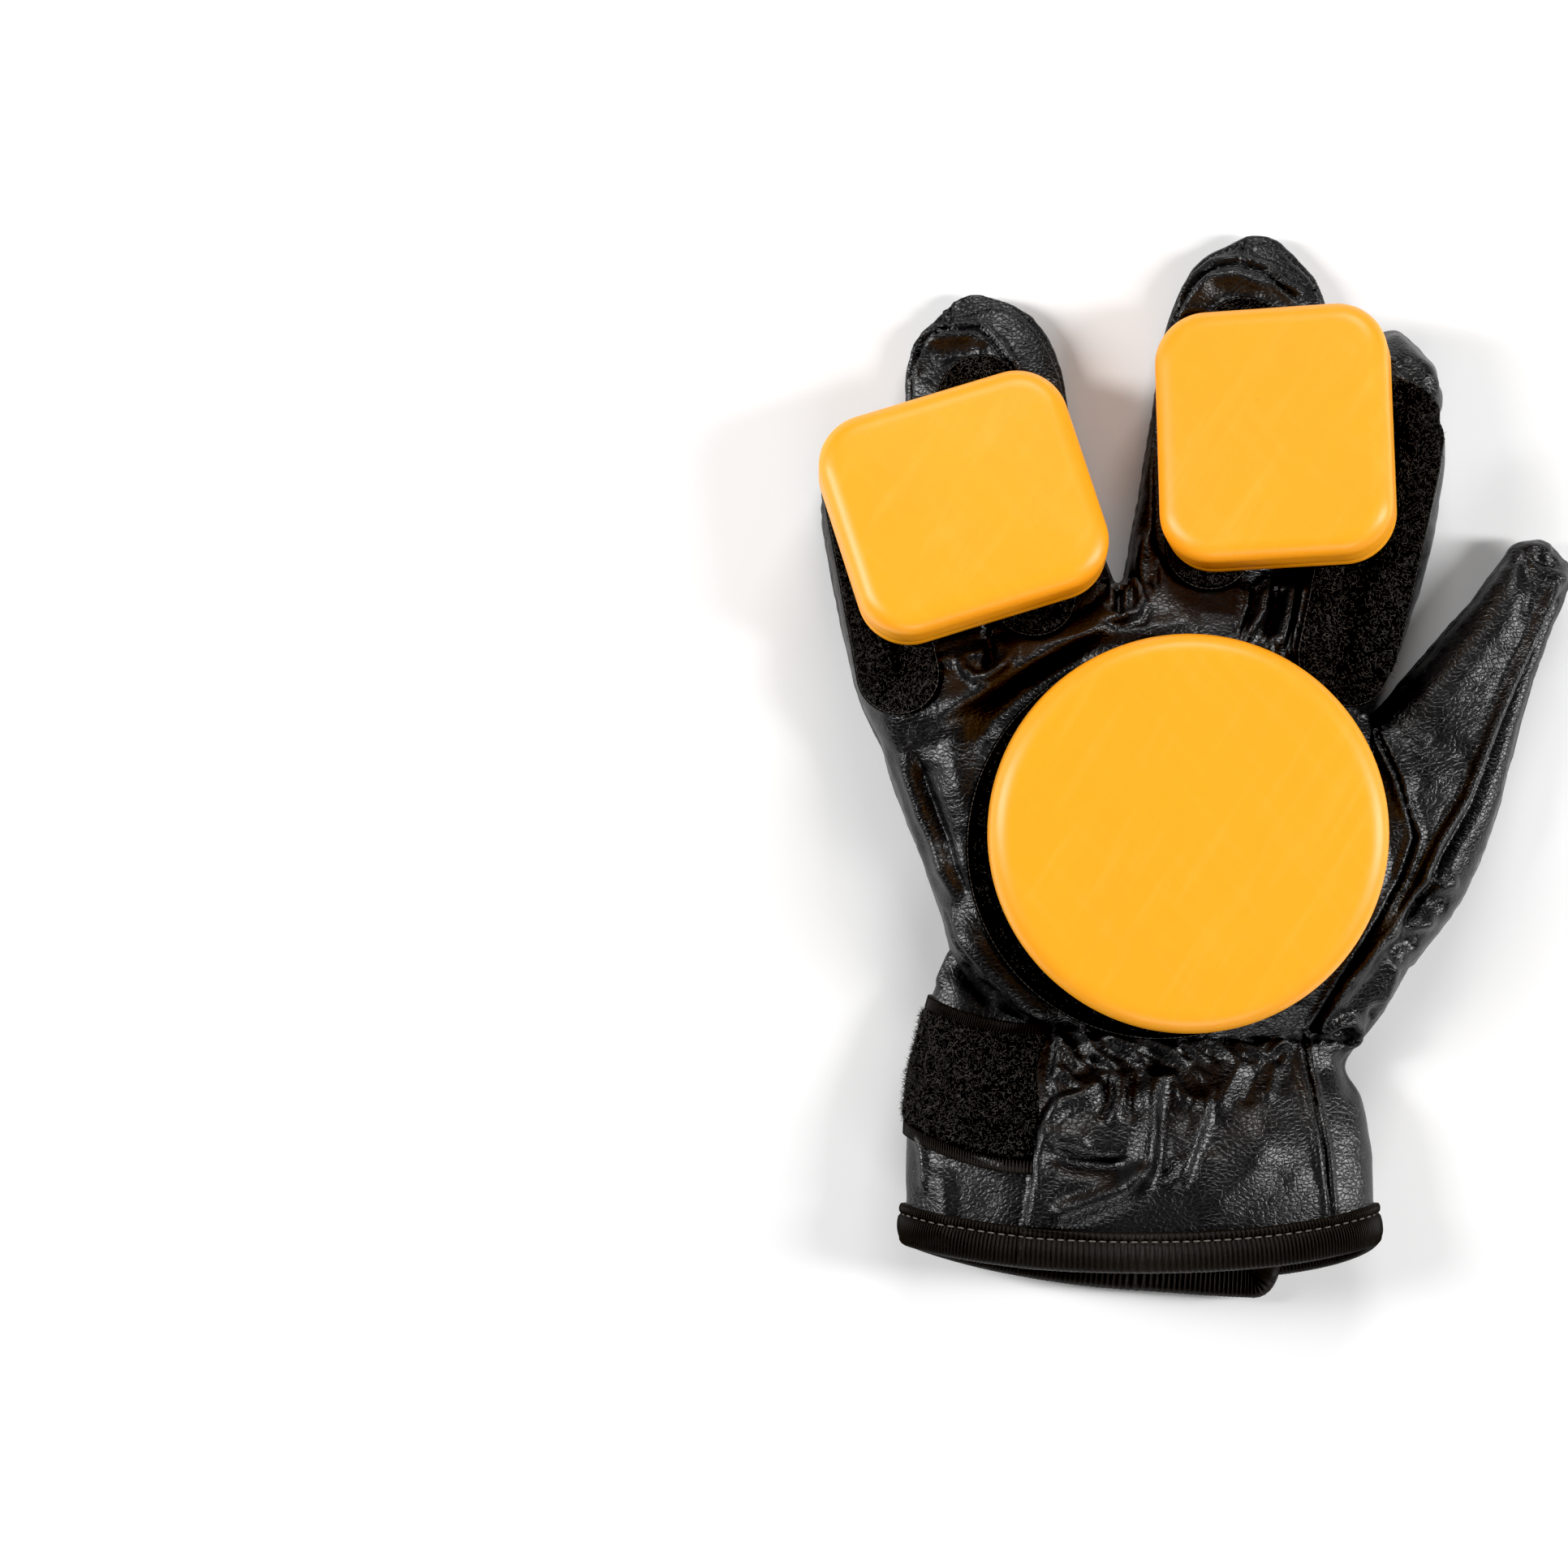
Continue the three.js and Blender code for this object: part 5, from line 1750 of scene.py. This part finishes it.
def fibres(spots: np.ndarray, seed: int) -> Surface:
    """Stands bent fibres on spots.

    Args:
        spots: where they stand, n by 3.
        seed: the seed of their directions.

    Returns:
        One surface of them all, each a closed sliver.
    """
    chance = np.random.default_rng(seed)
    count = len(spots)
    turn = chance.uniform(0.0, 2.0 * np.pi, count)
    heading = np.stack([np.cos(turn), np.sin(turn), np.zeros(count)], axis=-1)
    aside = np.stack([-np.sin(turn), np.cos(turn), np.zeros(count)], axis=-1)
    reach = FIBRE_LENGTH * chance.uniform(*FIBRE_LENGTHS, (count, 1))
    up = np.array([0.0, 0.0, 1.0])
    outwards, upwards = FIBRE_BEND
    bend = spots + heading * reach * outwards + up * reach * upwards
    tip = spots + heading * reach + up * reach * chance.uniform(*FIBRE_TIP, (count, 1))
    root = spots - up * FIBRE_ROOT
    half = FIBRE_THICKNESS / 2.0
    thin = FIBRE_THINNING * half
    corners = [
        root - aside * half, root + aside * half, root + heading * half,
        bend - aside * thin, bend + aside * thin, bend - up * half, tip,
    ]
    points = np.stack(corners, axis=1).reshape(-1, 3)
    pattern = [(0, 1, 4, 3), (1, 2, 5, 4), (2, 0, 3, 5), (3, 4, 6), (4, 5, 6), (5, 3, 6)]
    return Surface(points, repeated(pattern, len(corners), count))


def repeated(pattern: list, size: int, count: int) -> list:
    """Repeats a small part's faces.

    Args:
        pattern: the faces of one.
        size: how many points one has.
        count: how many of them there are.

    Returns:
        The faces of them all.
    """
    return [[size * index + corner for corner in face] for index in range(count) for face in pattern]


def stitches(
    path: np.ndarray, pitch: float, length: float, thickness: float, closed: bool = False
) -> Surface:
    """Runs stitches along a path.

    Args:
        path: the path's points, n by 3.
        pitch: how far one stitch is from the next.
        length: how long each one is.
        thickness: how thick the thread is.
        closed: whether the path comes back to its start.

    Returns:
        One surface of them all, each a closed spindle that bows up in its middle.
    """
    if closed:
        path = np.concatenate([path, path[:1]])
    passed = np.concatenate(([0.0], np.cumsum(np.linalg.norm(np.diff(path, axis=0), axis=1))))
    starts = np.arange(0.0, passed[-1] - length, pitch)
    spots = []
    for share, _ in STITCH_WIDTHS:
        spots += [np.interp(starts + length * share, passed, path[:, axis]) for axis in range(3)]
    rows, sides = len(STITCH_WIDTHS), len(STITCH_SECTION)
    spots = np.array(spots).reshape(rows, 3, -1).transpose(2, 0, 1)
    run = spots[:, -1] - spots[:, 0]
    run /= np.linalg.norm(run, axis=1, keepdims=True)
    up = np.array([0.0, 0.0, 1.0])
    aside = np.cross(run, up)
    aside /= np.linalg.norm(aside, axis=1, keepdims=True) + NO_LENGTH
    half = thickness / 2.0
    rings = []
    for step, (_, width) in enumerate(STITCH_WIDTHS):
        middle = spots[:, step] + up * half * (width - STITCH_SINK)
        for side, height in STITCH_SECTION:
            rings.append(middle + half * width * (side * aside + height * up))
    points = np.stack(rings, axis=1).reshape(-1, 3)
    pattern = []
    for first in range(0, (rows - 1) * sides, sides):
        for step in range(sides):
            here, after = first + step, first + (step + 1) % sides
            pattern.append([here, after, after + sides, here + sides])
    size = rows * sides
    pattern += [list(range(sides - 1, -1, -1)), list(range(size - sides, size))]
    return Surface(points, repeated(pattern, size, len(starts)))


def finger_patch(name: str, start: float, end: float, wide: float, aside: float, seed: int) -> LoopPatch:
    """Lays out the loop patch of a finger.

    Args:
        name: the digit.
        start: the share of its length where the patch starts.
        end: where it ends.
        wide: its width by the digit's.
        aside: how far it is to the thumb's side, by the digit's width.
        seed: the seed of its pile.

    Returns:
        The patch.
    """
    digit = DIGITS[name]
    low, high = digit.middle(np.array([start, end]))
    run = high - low
    length = np.linalg.norm(run)
    width = digit.wide * PALM_WIDTH
    middle = (low + high) / 2.0 + np.array([run[1], -run[0]]) / length * aside * width
    turn = math.degrees(math.atan2(-run[0], run[1]))
    return LoopPatch(name + "_patch", tuple(middle), wide * width / 2.0, length / 2.0, turn, seed)


# A finger's patch: where it starts and ends, its width, how far it is aside, and the seed of its pile
PATCHES = (
    LoopPatch("palm_patch", (-5.5, -3.0), 47.0, 47.0, 0.0, 31),
    finger_patch("pinky", 0.16, 0.9, 0.8, -0.1, 32),
    finger_patch("ring", 0.2, 0.87, 0.553, -0.053, 33),
    finger_patch("middle", 0.25, 0.88, 0.536, -0.026, 34),
    finger_patch("index", 0.1, 0.905, 0.81, 0.14, 35),
)


@dataclass
class Cuff:
    """The gathered cuff: one sheet of leather lapped at the back, its loop tape, hook strip and bound hem."""

    length: float = 48.0
    width: float = 114.0
    height: float = 34.0
    offset: float = -9.7
    lap: float = 22.0
    hem_sag: float = 5.6
    flap_drop: float = 7.0
    flap_skew: float = 5.5
    tab_drop: float = 11.0
    gather_count: int = 6
    gather_depth: float = 1.5
    gather_power: float = 1.4
    gathered: tuple[float, float] = (0.5, 0.95)
    slit_start: float = 307.0
    slit_width: float = 2.0
    tab_reach: float = 45.0
    layers_part: tuple[float, float] = (165.0, 225.0)
    ulnar_side: tuple[float, float] = (0.45, 0.95)
    ulnar_rise: float = 0.48
    flap_corner: tuple[float, float] = (7.0, 9.0)
    tab_corner: tuple[float, float] = (22.0, 13.0)
    corner_limit: float = 0.99
    tuck: float = 4.5
    tuck_depth: float = 3.4
    tuck_wave: float = 1.3
    tuck_margin: float = 1.5
    facing: tuple[float, float] = (0.05, 0.45)
    swell: Undulation = Undulation(11)
    swells: tuple = ((0.0, 13.0, 0.5), (53.0, 5.0, 0.2))
    turn_step: float = 0.01
    reach_step: float = 0.3
    steps: int = 420
    rows: int = 100

    @property
    def start(self) -> float:
        """The angle where the inner flap starts, in radians."""
        return math.radians(self.slit_start)

    @property
    def end(self) -> float:
        """The angle where the outer tab ends, in radians."""
        edge = math.radians(self.slit_start - self.slit_width - self.tab_reach - 360.0)
        return edge - self.lap / (self.width / 2.0)

    @property
    def layer_lift(self) -> float:
        """How far the inner flap is lifted over the outer tab."""
        return WALL + HOOK_THICKNESS + TAPE_THICKNESS + 3.0 * GAP

    def hem(self, angle: np.ndarray) -> np.ndarray:
        """Works out where the hem is.

        Args:
            angle: angles round the cuff.

        Returns:
            How far it is from the palm puck's centre there.
        """
        across = np.cos(angle)
        middle = 1.0 - across * across
        flap = self.flap_drop * np.sqrt(middle) + self.flap_skew * (1.0 + across)
        tab = self.tab_drop * np.sqrt(middle)
        drop = np.where(angle > np.pi, flap, np.where(angle < 0, tab, self.hem_sag * middle))
        ends = ((self.start - angle, self.flap_corner), (angle - self.end, self.tab_corner))
        for past, (wide, deep) in ends:
            left = np.clip(1.0 - past * self.width / 2.0 / wide, 0.0, self.corner_limit)
            drop = drop - deep * (1.0 - np.sqrt(1.0 - left * left))
        return WRIST_REACH + self.length + drop

    def top(self, angle: np.ndarray) -> np.ndarray:
        """Returns how far the cuff's upper edge is from the palm puck's centre, at angles round it."""
        ulnar = self.ulnar(angle)
        return WRIST_REACH - self.tuck + self.tuck * ulnar - ulnar * self.ulnar_rise * WRIST_REACH

    def ulnar(self, angle: np.ndarray) -> np.ndarray:
        """Returns 1 on the little finger's side of the cuff and 0 round the rest of it."""
        return smooth_step(-np.cos(angle), *self.ulnar_side)

    def point(self, angle: np.ndarray, reach: np.ndarray, offset: object) -> np.ndarray:
        """Finds points of the cuff.

        Args:
            angle: angles round it: 0 is its thumb side, 90 degrees the palm's side.
            reach: how far the points are from the palm puck's centre.
            offset: how far they are out of the leather.

        Returns:
            The points.
        """
        along = (reach - WRIST_REACH) / self.length
        left, right, top = (column(CUFF_FORM, index, along) for index in (1, 2, 3))
        left = left * self.width + self.offset
        right = right * self.width + self.offset
        top = top * self.height
        parting = smooth_step(angle, *(math.radians(limit) for limit in self.layers_part))
        grown = offset - self.layer_lift * parting
        across, up = rounded(angle, ROUND_POWER)
        front = smooth_step(np.clip(up, 0.0, None), *self.gathered)
        fade = np.clip(1.0 - np.clip(along, 0.0, None), 0.0, None) ** self.gather_power * front
        gather = 0.5 * self.gather_depth * fade * np.cos(2.0 * self.gather_count * angle)
        half_height = (top + REST_SINK) / 2.0
        floor = BINDING_THICKNESS + GAP
        x = (left + right) / 2.0 + ((right - left) / 2.0 + grown) * across
        z = half_height - REST_SINK + floor / 2.0 + (half_height + grown) * up + gather
        return np.stack([x, -reach + 0.0 * x, np.maximum(z, floor - grown)], axis=-1)

    def relief(self, points: np.ndarray, normals: np.ndarray, folds: tuple[Fold, ...]) -> np.ndarray:
        """Works out how far folds and unevenness lift the leather.

        Args:
            points: the leather's points.
            normals: the directions that it faces there.
            folds: the folds that it has.

        Returns:
            The lift at each point.
        """
        facing_up = smooth_step(normals[:, 2], *self.facing)
        lift = np.zeros(len(points))
        for fold in folds:
            lift += fold.lift(points[:, :2]) * facing_up
        return lift + self.swell.layers(points, self.swells)

    def skin(self, angle: np.ndarray, reach: np.ndarray, offset: object, folded: bool = True) -> np.ndarray:
        """Finds points of the cuff's outer face, moved out by offset.

        Args:
            angle: rows by columns of angles.
            reach: rows by columns of reaches.
            offset: how far out of the leather.
            folded: whether it has the leather's folds.

        Returns:
            The grid of points.
        """
        base = self.point(angle, reach, 0.0)
        turn, step = self.turn_step, self.reach_step
        around = self.point(angle + turn, reach, 0.0) - self.point(angle - turn, reach, 0.0)
        down = self.point(angle, reach + step, 0.0) - self.point(angle, reach - step, 0.0)
        normal = np.cross(around, down)
        normal /= np.linalg.norm(normal, axis=-1, keepdims=True) + NO_LENGTH
        folds = CUFF_FOLDS + WRIST_FOLDS + (FRONT_EDGE,) if folded else ()
        lift = self.relief(base.reshape(-1, 3), normal.reshape(-1, 3), folds).reshape(base.shape[:2])
        wave = self.tuck_wave * np.sin(3.0 * self.gather_count * angle)
        above = WRIST_REACH + self.tuck_margin + wave - reach
        tucked = smooth_step(above, 0.0, self.tuck + self.tuck_margin) * (1.0 - self.ulnar(angle))
        grown = lift + offset - self.tuck_depth * tucked
        made = base + normal * grown[..., None]
        made[..., 2] = np.maximum(made[..., 2], BINDING_THICKNESS + GAP + np.minimum(offset, 0.0))
        return made

    def grid(self, start: float, end: float, steps: int, rows: int, low: object, high: object) -> tuple:
        """Lays out a grid between two angles and two edges.

        Args:
            start: the first angle.
            end: the last angle.
            steps: how many steps there are between them.
            rows: how many rows there are.
            low: gives the upper edge's reach at an angle.
            high: gives the lower edge's reach at an angle.

        Returns:
            The angles and the reaches, rows by steps.
        """
        angle = np.linspace(start, end, steps + 1)
        share = np.linspace(0.0, 1.0, rows + 1)[:, None]
        reach = low(angle)[None, :] * (1.0 - share) + high(angle)[None, :] * share
        return np.broadcast_to(angle[None, :], reach.shape), reach

    def build(self) -> None:
        """Makes the cuff's leather."""
        angle, reach = self.grid(self.start, self.end, self.steps, self.rows, self.top, self.hem)
        outer = self.skin(angle, reach, np.zeros(reach.shape))
        inner = self.skin(angle, reach, np.full(reach.shape, -WALL))
        put_in_scene("cuff_leather", Surface.sheet(inner, outer), LEATHER, ("cuff",))


@dataclass
class HemBinding:
    """The ribbed tape that is folded over the cuff's hem, and its stitches."""

    cuff: Cuff
    width: float = 8.2
    band: float = 5.9
    rib_run: float = 300.0
    steps_a_rib: int = 4
    ridge_height: float = 0.15
    ridge_margin: float = 0.4
    groove: tuple = ((0.35, 0.2), (0.3, -0.2))
    band_height: float = 0.5
    band_power: float = 0.7
    band_start: float = 0.25
    band_margin: float = 0.6
    fold_depth: float = 1.9
    fold_start: float = 0.1
    outer_lip: float = 0.1
    lip_share: float = 0.8
    inner_start: float = 0.2
    inner_lip: float = 0.9
    ridge_steps: int = 5
    band_steps: int = 9
    fold_steps: int = 9
    inner_steps: int = 8
    angle_step: float = 0.004
    least_stride: float = 12.0
    thread: tuple[float, float, float] = (2.5, 1.7, 0.42)
    thread_sink: float = 0.05

    def beside_hem(self, angle: np.ndarray, behind: float, out: np.ndarray) -> np.ndarray:
        """Finds a line of points that runs beside the hem.

        Args:
            angle: angles along it.
            behind: how far the line is in from the hem's edge, square to it.
            out: how far the points are out of the leather.

        Returns:
            The points, one for each angle.
        """
        cuff, step = self.cuff, self.angle_step
        hem = cuff.hem(angle)
        slope = (cuff.hem(angle + step) - cuff.hem(angle - step)) / (2.0 * step)
        stride = cuff.point(angle + step, hem, 0.0) - cuff.point(angle - step, hem, 0.0)
        stride = np.maximum(np.linalg.norm(stride, axis=-1) / (2.0 * step), self.least_stride)
        length = np.hypot(stride, slope)
        moved = angle + behind * slope / length / stride
        reach = hem - behind * stride / length
        return cuff.skin(moved[None, :], reach[None, :], out[None, :])[0]

    def profile(self) -> list[tuple[float, float]]:
        """Draws the tape's section, from its outer edge over the hem to its inner edge.

        Returns:
            Places, each as how far it is out of the leather and how far behind the hem's edge.
        """
        lift = GAP + BINDING_THICKNESS
        inside = -WALL - lift
        profile = [(self.outer_lip, self.width), (lift * self.lip_share, self.width - self.outer_lip)]
        for turn in np.linspace(0.0, np.pi, self.ridge_steps):
            past = (self.width - self.band - 2.0 * self.ridge_margin) * turn / np.pi
            profile.append((lift + self.ridge_height * math.sin(turn), self.width - self.ridge_margin - past))
        profile += [(lift - depth, self.band + past) for depth, past in self.groove]
        for turn in np.linspace(self.band_start, np.pi, self.band_steps):
            past = (self.band - self.band_margin) * turn / np.pi
            out = lift + self.band_height * math.sin(turn) ** self.band_power
            profile.append((out, self.band - self.ridge_margin - past))
        for turn in np.linspace(0.0, np.pi, self.fold_steps)[1:-1]:
            out = (lift + inside) / 2.0 + (lift - inside) / 2.0 * math.cos(turn)
            profile.append((out, self.fold_start - self.fold_depth * math.sin(turn)))
        behinds = np.linspace(self.inner_start, self.width - self.ridge_margin, self.inner_steps)
        profile += [(inside, behind) for behind in behinds]
        return profile + [(inside + self.inner_lip, self.width)]

    def build(self) -> None:
        """Makes the tape and its stitches."""
        ribs = int(self.rib_run / RIB_PITCH)
        angle = np.linspace(self.cuff.start, self.cuff.end, ribs * self.steps_a_rib + 1)
        wave = RIB_DEPTH * np.cos(np.arange(len(angle)) * np.pi / 2.0)
        rings = []
        for out, behind in self.profile():
            facing = 1.0 if out > -WALL / 2.0 else -1.0
            rings.append(self.beside_hem(angle, behind, out + wave * facing))
        loft = Surface.closed_loft(np.array(rings).transpose(1, 0, 2))
        tape = put_in_scene("hem_binding_tape", loft, GROSGRAIN, ("hem_binding",))
        out = np.full(ribs + 1, GAP + BINDING_THICKNESS - self.thread_sink)
        line = self.beside_hem(angle[::self.steps_a_rib], self.band, out)
        thread = put_in_scene("hem_stitches", stitches(line, *self.thread), THREAD, ())
        flat = ((2.0 * self.width + WALL) * METRES, run_length(line) * METRES)


@dataclass
class WristTape:
    """The loop tape round the little finger's side of the cuff, with its ribbed selvages."""

    cuff: Cuff
    back_end: float = 285.0
    front_end: float = 112.0
    upper_edge: float = 41.3
    upper_fall: float = 6.2
    lower_edge: float = 71.4
    lower_fall: float = 9.0
    steps: int = 260
    rows: int = 60
    fuzz: Undulation = Undulation(5)
    fuzz_size: float = 0.8
    fuzz_height: float = 0.25
    thin_edge: float = 0.11
    edge_level: float = 0.3
    pile_level: float = 0.45
    selvage_out: float = 1.4
    selvage_in: float = 1.7
    selvage_level: float = 0.4
    selvage_ribs: int = 170
    selvage_rows: int = 6
    rib_share: float = 0.6
    seed: int = 3
    fibre_seed: int = 4
    fibre_count: int = 8000
    fibre_rows: int = 4
    fibre_start: int = 100
    fibre_scatter: float = 0.3
    lowest: float = 9.0

    def front(self, angle: np.ndarray) -> np.ndarray:
        """Returns 1 at the tape's front end and 0 on the little finger's side."""
        return smooth_step(-angle, -math.pi, -math.radians(self.front_end))

    def upper(self, angle: np.ndarray) -> np.ndarray:
        """Returns the reach of the tape's upper edge."""
        return self.upper_edge + self.upper_fall * self.front(angle)

    def lower(self, angle: np.ndarray) -> np.ndarray:
        """Returns the reach of the tape's lower edge."""
        return self.lower_edge + self.lower_fall * self.front(angle)

    def strip(self, steps: int, rows: int, low: object, high: object) -> tuple:
        """Lays out a grid of the whole length between two edges, as Cuff.grid does."""
        start, end = math.radians(self.back_end), math.radians(self.front_end)
        return self.cuff.grid(start, end, steps, rows, low, high)

    def build(self) -> None:
        """Makes the tape, its selvages and its fibres."""
        angle, reach = self.strip(self.steps, self.rows, self.upper, self.lower)
        flat = self.cuff.point(angle, reach, 0.0).reshape(-1, 3)
        fuzz = self.fuzz.at(flat, self.fuzz_size).reshape(reach.shape) * self.fuzz_height
        share = np.linspace(0.0, 1.0, self.rows + 1)[:, None]
        thin = smooth_step(np.minimum(share, 1.0 - share), 0.0, self.thin_edge)
        offset = GAP + TAPE_THICKNESS * (self.edge_level + self.pile_level * thin) + fuzz * thin
        outer = self.cuff.skin(angle, reach, offset, folded=False)
        inner = self.cuff.skin(angle, reach, np.full(reach.shape, GAP * 0.5), folded=False)
        sheet = Surface.sheet(inner, outer)
        band = put_in_scene("wrist_loop_band", sheet, PILE, ("wrist_loop_tape",))
        trimmings = [
            self._selvage("wrist_upper_selvage", self.upper, -self.selvage_out, self.selvage_in),
            self._selvage("wrist_lower_selvage", self.lower, -self.selvage_in, self.selvage_out),
            self._brush(outer),
        ]
        cut = (run_length(inner[:, self.steps // 2]), run_length(inner[self.rows // 2]))
        declare_cut(cut, 0.0)

    def _selvage(self, name: str, edge: object, above: float, below: float) -> bpy.types.Object:
        """Makes the ribbed selvage along one edge.

        Args:
            name: its name.
            edge: gives the edge's reach at an angle.
            above: how far from the edge it starts.
            below: how far from the edge it ends.

        Returns:
            The selvage.
        """
        steps = self.selvage_ribs * 4
        angle, reach = self.strip(
            steps, self.selvage_rows, lambda turn: edge(turn) + above, lambda turn: edge(turn) + below
        )
        wave = RIB_DEPTH * self.rib_share * np.cos(np.arange(steps + 1) * np.pi / 2.0)[None, :]
        offset = GAP + TAPE_THICKNESS * self.selvage_level + wave
        face = self.cuff.skin(angle, reach, offset, folded=False)
        back = self.cuff.skin(angle, reach, np.full(reach.shape, GAP * 0.5), folded=False)
        return put_in_scene(name, Surface.sheet(back, face), GROSGRAIN, ())

    def _brush(self, surface: np.ndarray) -> bpy.types.Object:
        """Stands short bent fibres on the tape.

        Args:
            surface: the tape's face, rows by columns by 3.

        Returns:
            The fibres.
        """
        chance = np.random.default_rng(self.seed)
        row = chance.integers(self.fibre_rows, self.rows - self.fibre_rows, self.fibre_count)
        spots = surface[row, chance.integers(self.fibre_start, self.steps, self.fibre_count)]
        spots = spots + scatter(chance, self.fibre_scatter, self.fibre_count)
        spots = spots[spots[:, 2] > self.lowest]
        return put_in_scene("wrist_loop_fibres", fibres(spots, self.fibre_seed), FIBRE, ())


@dataclass
class TabHooks:
    """The strip of hooks inside the cuff's tab."""

    cuff: Cuff
    first: float = 35.0 / 40.0
    last: float = 38.0 / 40.0
    high: float = 1.0 / 3.0
    low: float = 5.0 / 6.0
    steps: int = 60
    rows: int = 40
    hook_height: float = 0.12
    hook_turn: float = 2.1

    def edge(self, angle: np.ndarray, share: float) -> np.ndarray:
        """Returns the reach of one of its edges, which lies at a share of the way to the hem."""
        return self.cuff.top(angle) + (self.cuff.hem(angle) - self.cuff.top(angle)) * share

    def build(self) -> None:
        """Makes the strip."""
        cuff = self.cuff
        run = cuff.end - cuff.start
        angle, reach = cuff.grid(
            cuff.start + self.first * run, cuff.start + self.last * run, self.steps, self.rows,
            lambda turn: self.edge(turn, self.high), lambda turn: self.edge(turn, self.low),
        )
        outer = cuff.skin(angle, reach, np.full(reach.shape, -WALL - GAP))
        inner = outer + np.array([0.0, 0.0, HOOK_THICKNESS])
        across = np.cos(np.arange(self.steps + 1) * self.hook_turn)[None, :]
        down = np.cos(np.arange(self.rows + 1) * self.hook_turn)[:, None]
        inner[..., 2] += self.hook_height * across * down
        strip = put_in_scene("tab_hooks", Surface.sheet(outer, inner), HOOKS, ("tab_hook_strip",))
        cut = (run_length(outer[:, self.steps // 2]), run_length(outer[self.rows // 2]))
        declare_cut(cut, 0.0)


@dataclass
class Studio:
    """The pale floor, the soft lights and the camera straight above."""

    camera_height: float = 1200.0
    camera_x: float = -96.2
    camera_y: float = 11.8
    field_of_view: float = 386.4
    sensor: float = 36.0
    nearest: float = 0.05
    black_point: float = 0.0045
    floor_half: float = 3.0
    floor_drop: float = 0.0002
    sky: float = 0.04
    soft_boxes: tuple = (
        ("left", (-0.85, 0.15, 0.62), (0.16, 0.7), 9.5),
        ("right", (0.9, 0.0, 0.66), (0.16, 0.7), 10.5),
        ("far", (0.1, 0.95, 0.75), (0.5, 0.16), 5.2),
        ("near", (0.1, -0.95, 0.6), (0.6, 0.16), 3.0),
    )

    def build(self) -> None:
        """Makes the floor, the camera and the lights."""
        self._floor()
        self._camera()
        for name, place, size, power in self.soft_boxes:
            self._soft_box(name, place, size, power)
        world = bpy.data.worlds.new("studio")
        world.use_nodes = True
        background = world.node_tree.nodes["Background"]
        background.inputs["Color"].default_value = (1.0, 1.0, 1.0, 1.0)
        background.inputs["Strength"].default_value = self.sky
        bpy.context.scene.world = world

    def _floor(self) -> None:
        """Lays the floor, just under the glove."""
        half = self.floor_half
        corners = [(x * half, y * half, -self.floor_drop) for x, y in ((-1, -1), (1, -1), (1, 1), (-1, 1))]
        floor = bpy.data.meshes.new("floor")
        floor.from_pydata(corners, [], [(0, 1, 2, 3)])
        floor.materials.append(FLOOR.material())
        holder = bpy.data.objects.new("floor", floor)
        bpy.context.scene.collection.objects.link(holder)

    def _camera(self) -> None:
        """Hangs the camera, and sets how it turns light into the picture's values."""
        camera = bpy.data.cameras.new("camera")
        camera.sensor_width = self.sensor
        camera.lens = self.sensor * self.camera_height / self.field_of_view
        camera.clip_start = self.nearest
        eye = bpy.data.objects.new("camera", camera)
        eye.location = (self.camera_x * METRES, self.camera_y * METRES, self.camera_height * METRES)
        bpy.context.scene.collection.objects.link(eye)
        bpy.context.scene.camera = eye
        view = bpy.context.scene.view_settings
        view.view_transform = "Standard"
        view.use_curve_mapping = True
        view.curve_mapping.black_level = (self.black_point,) * 3
        view.curve_mapping.update()

    def _soft_box(self, name: str, place: tuple, size: tuple, power: float) -> None:
        """Hangs a soft light that looks at the glove.

        Args:
            name: its name.
            place: where it hangs, in metres.
            size: its width and height, in metres.
            power: its power, in watts.
        """
        lamp = bpy.data.lights.new(name, "AREA")
        lamp.shape = "RECTANGLE"
        lamp.size, lamp.size_y = size
        lamp.energy = power
        holder = bpy.data.objects.new("light_" + name, lamp)
        holder.location = place
        holder.rotation_euler = (-Vector(place)).to_track_quat("-Z", "Y").to_euler()
        bpy.context.scene.collection.objects.link(holder)


def main() -> None:
    """Builds the studio and the glove, one sub-assembly after another."""
    logging.basicConfig(level=logging.INFO, format="%(message)s")
    Studio().build()
    shell = HandLeather().build()
    tree = shell.tree()
    for patch in PATCHES:
        patch.build(tree)
    for puck in PUCKS:
        puck.build()
    cuff = Cuff()
    for piece in (cuff, HemBinding(cuff), WristTape(cuff), TabHooks(cuff)):
        piece.build()


if __name__ == "__main__":
    main()
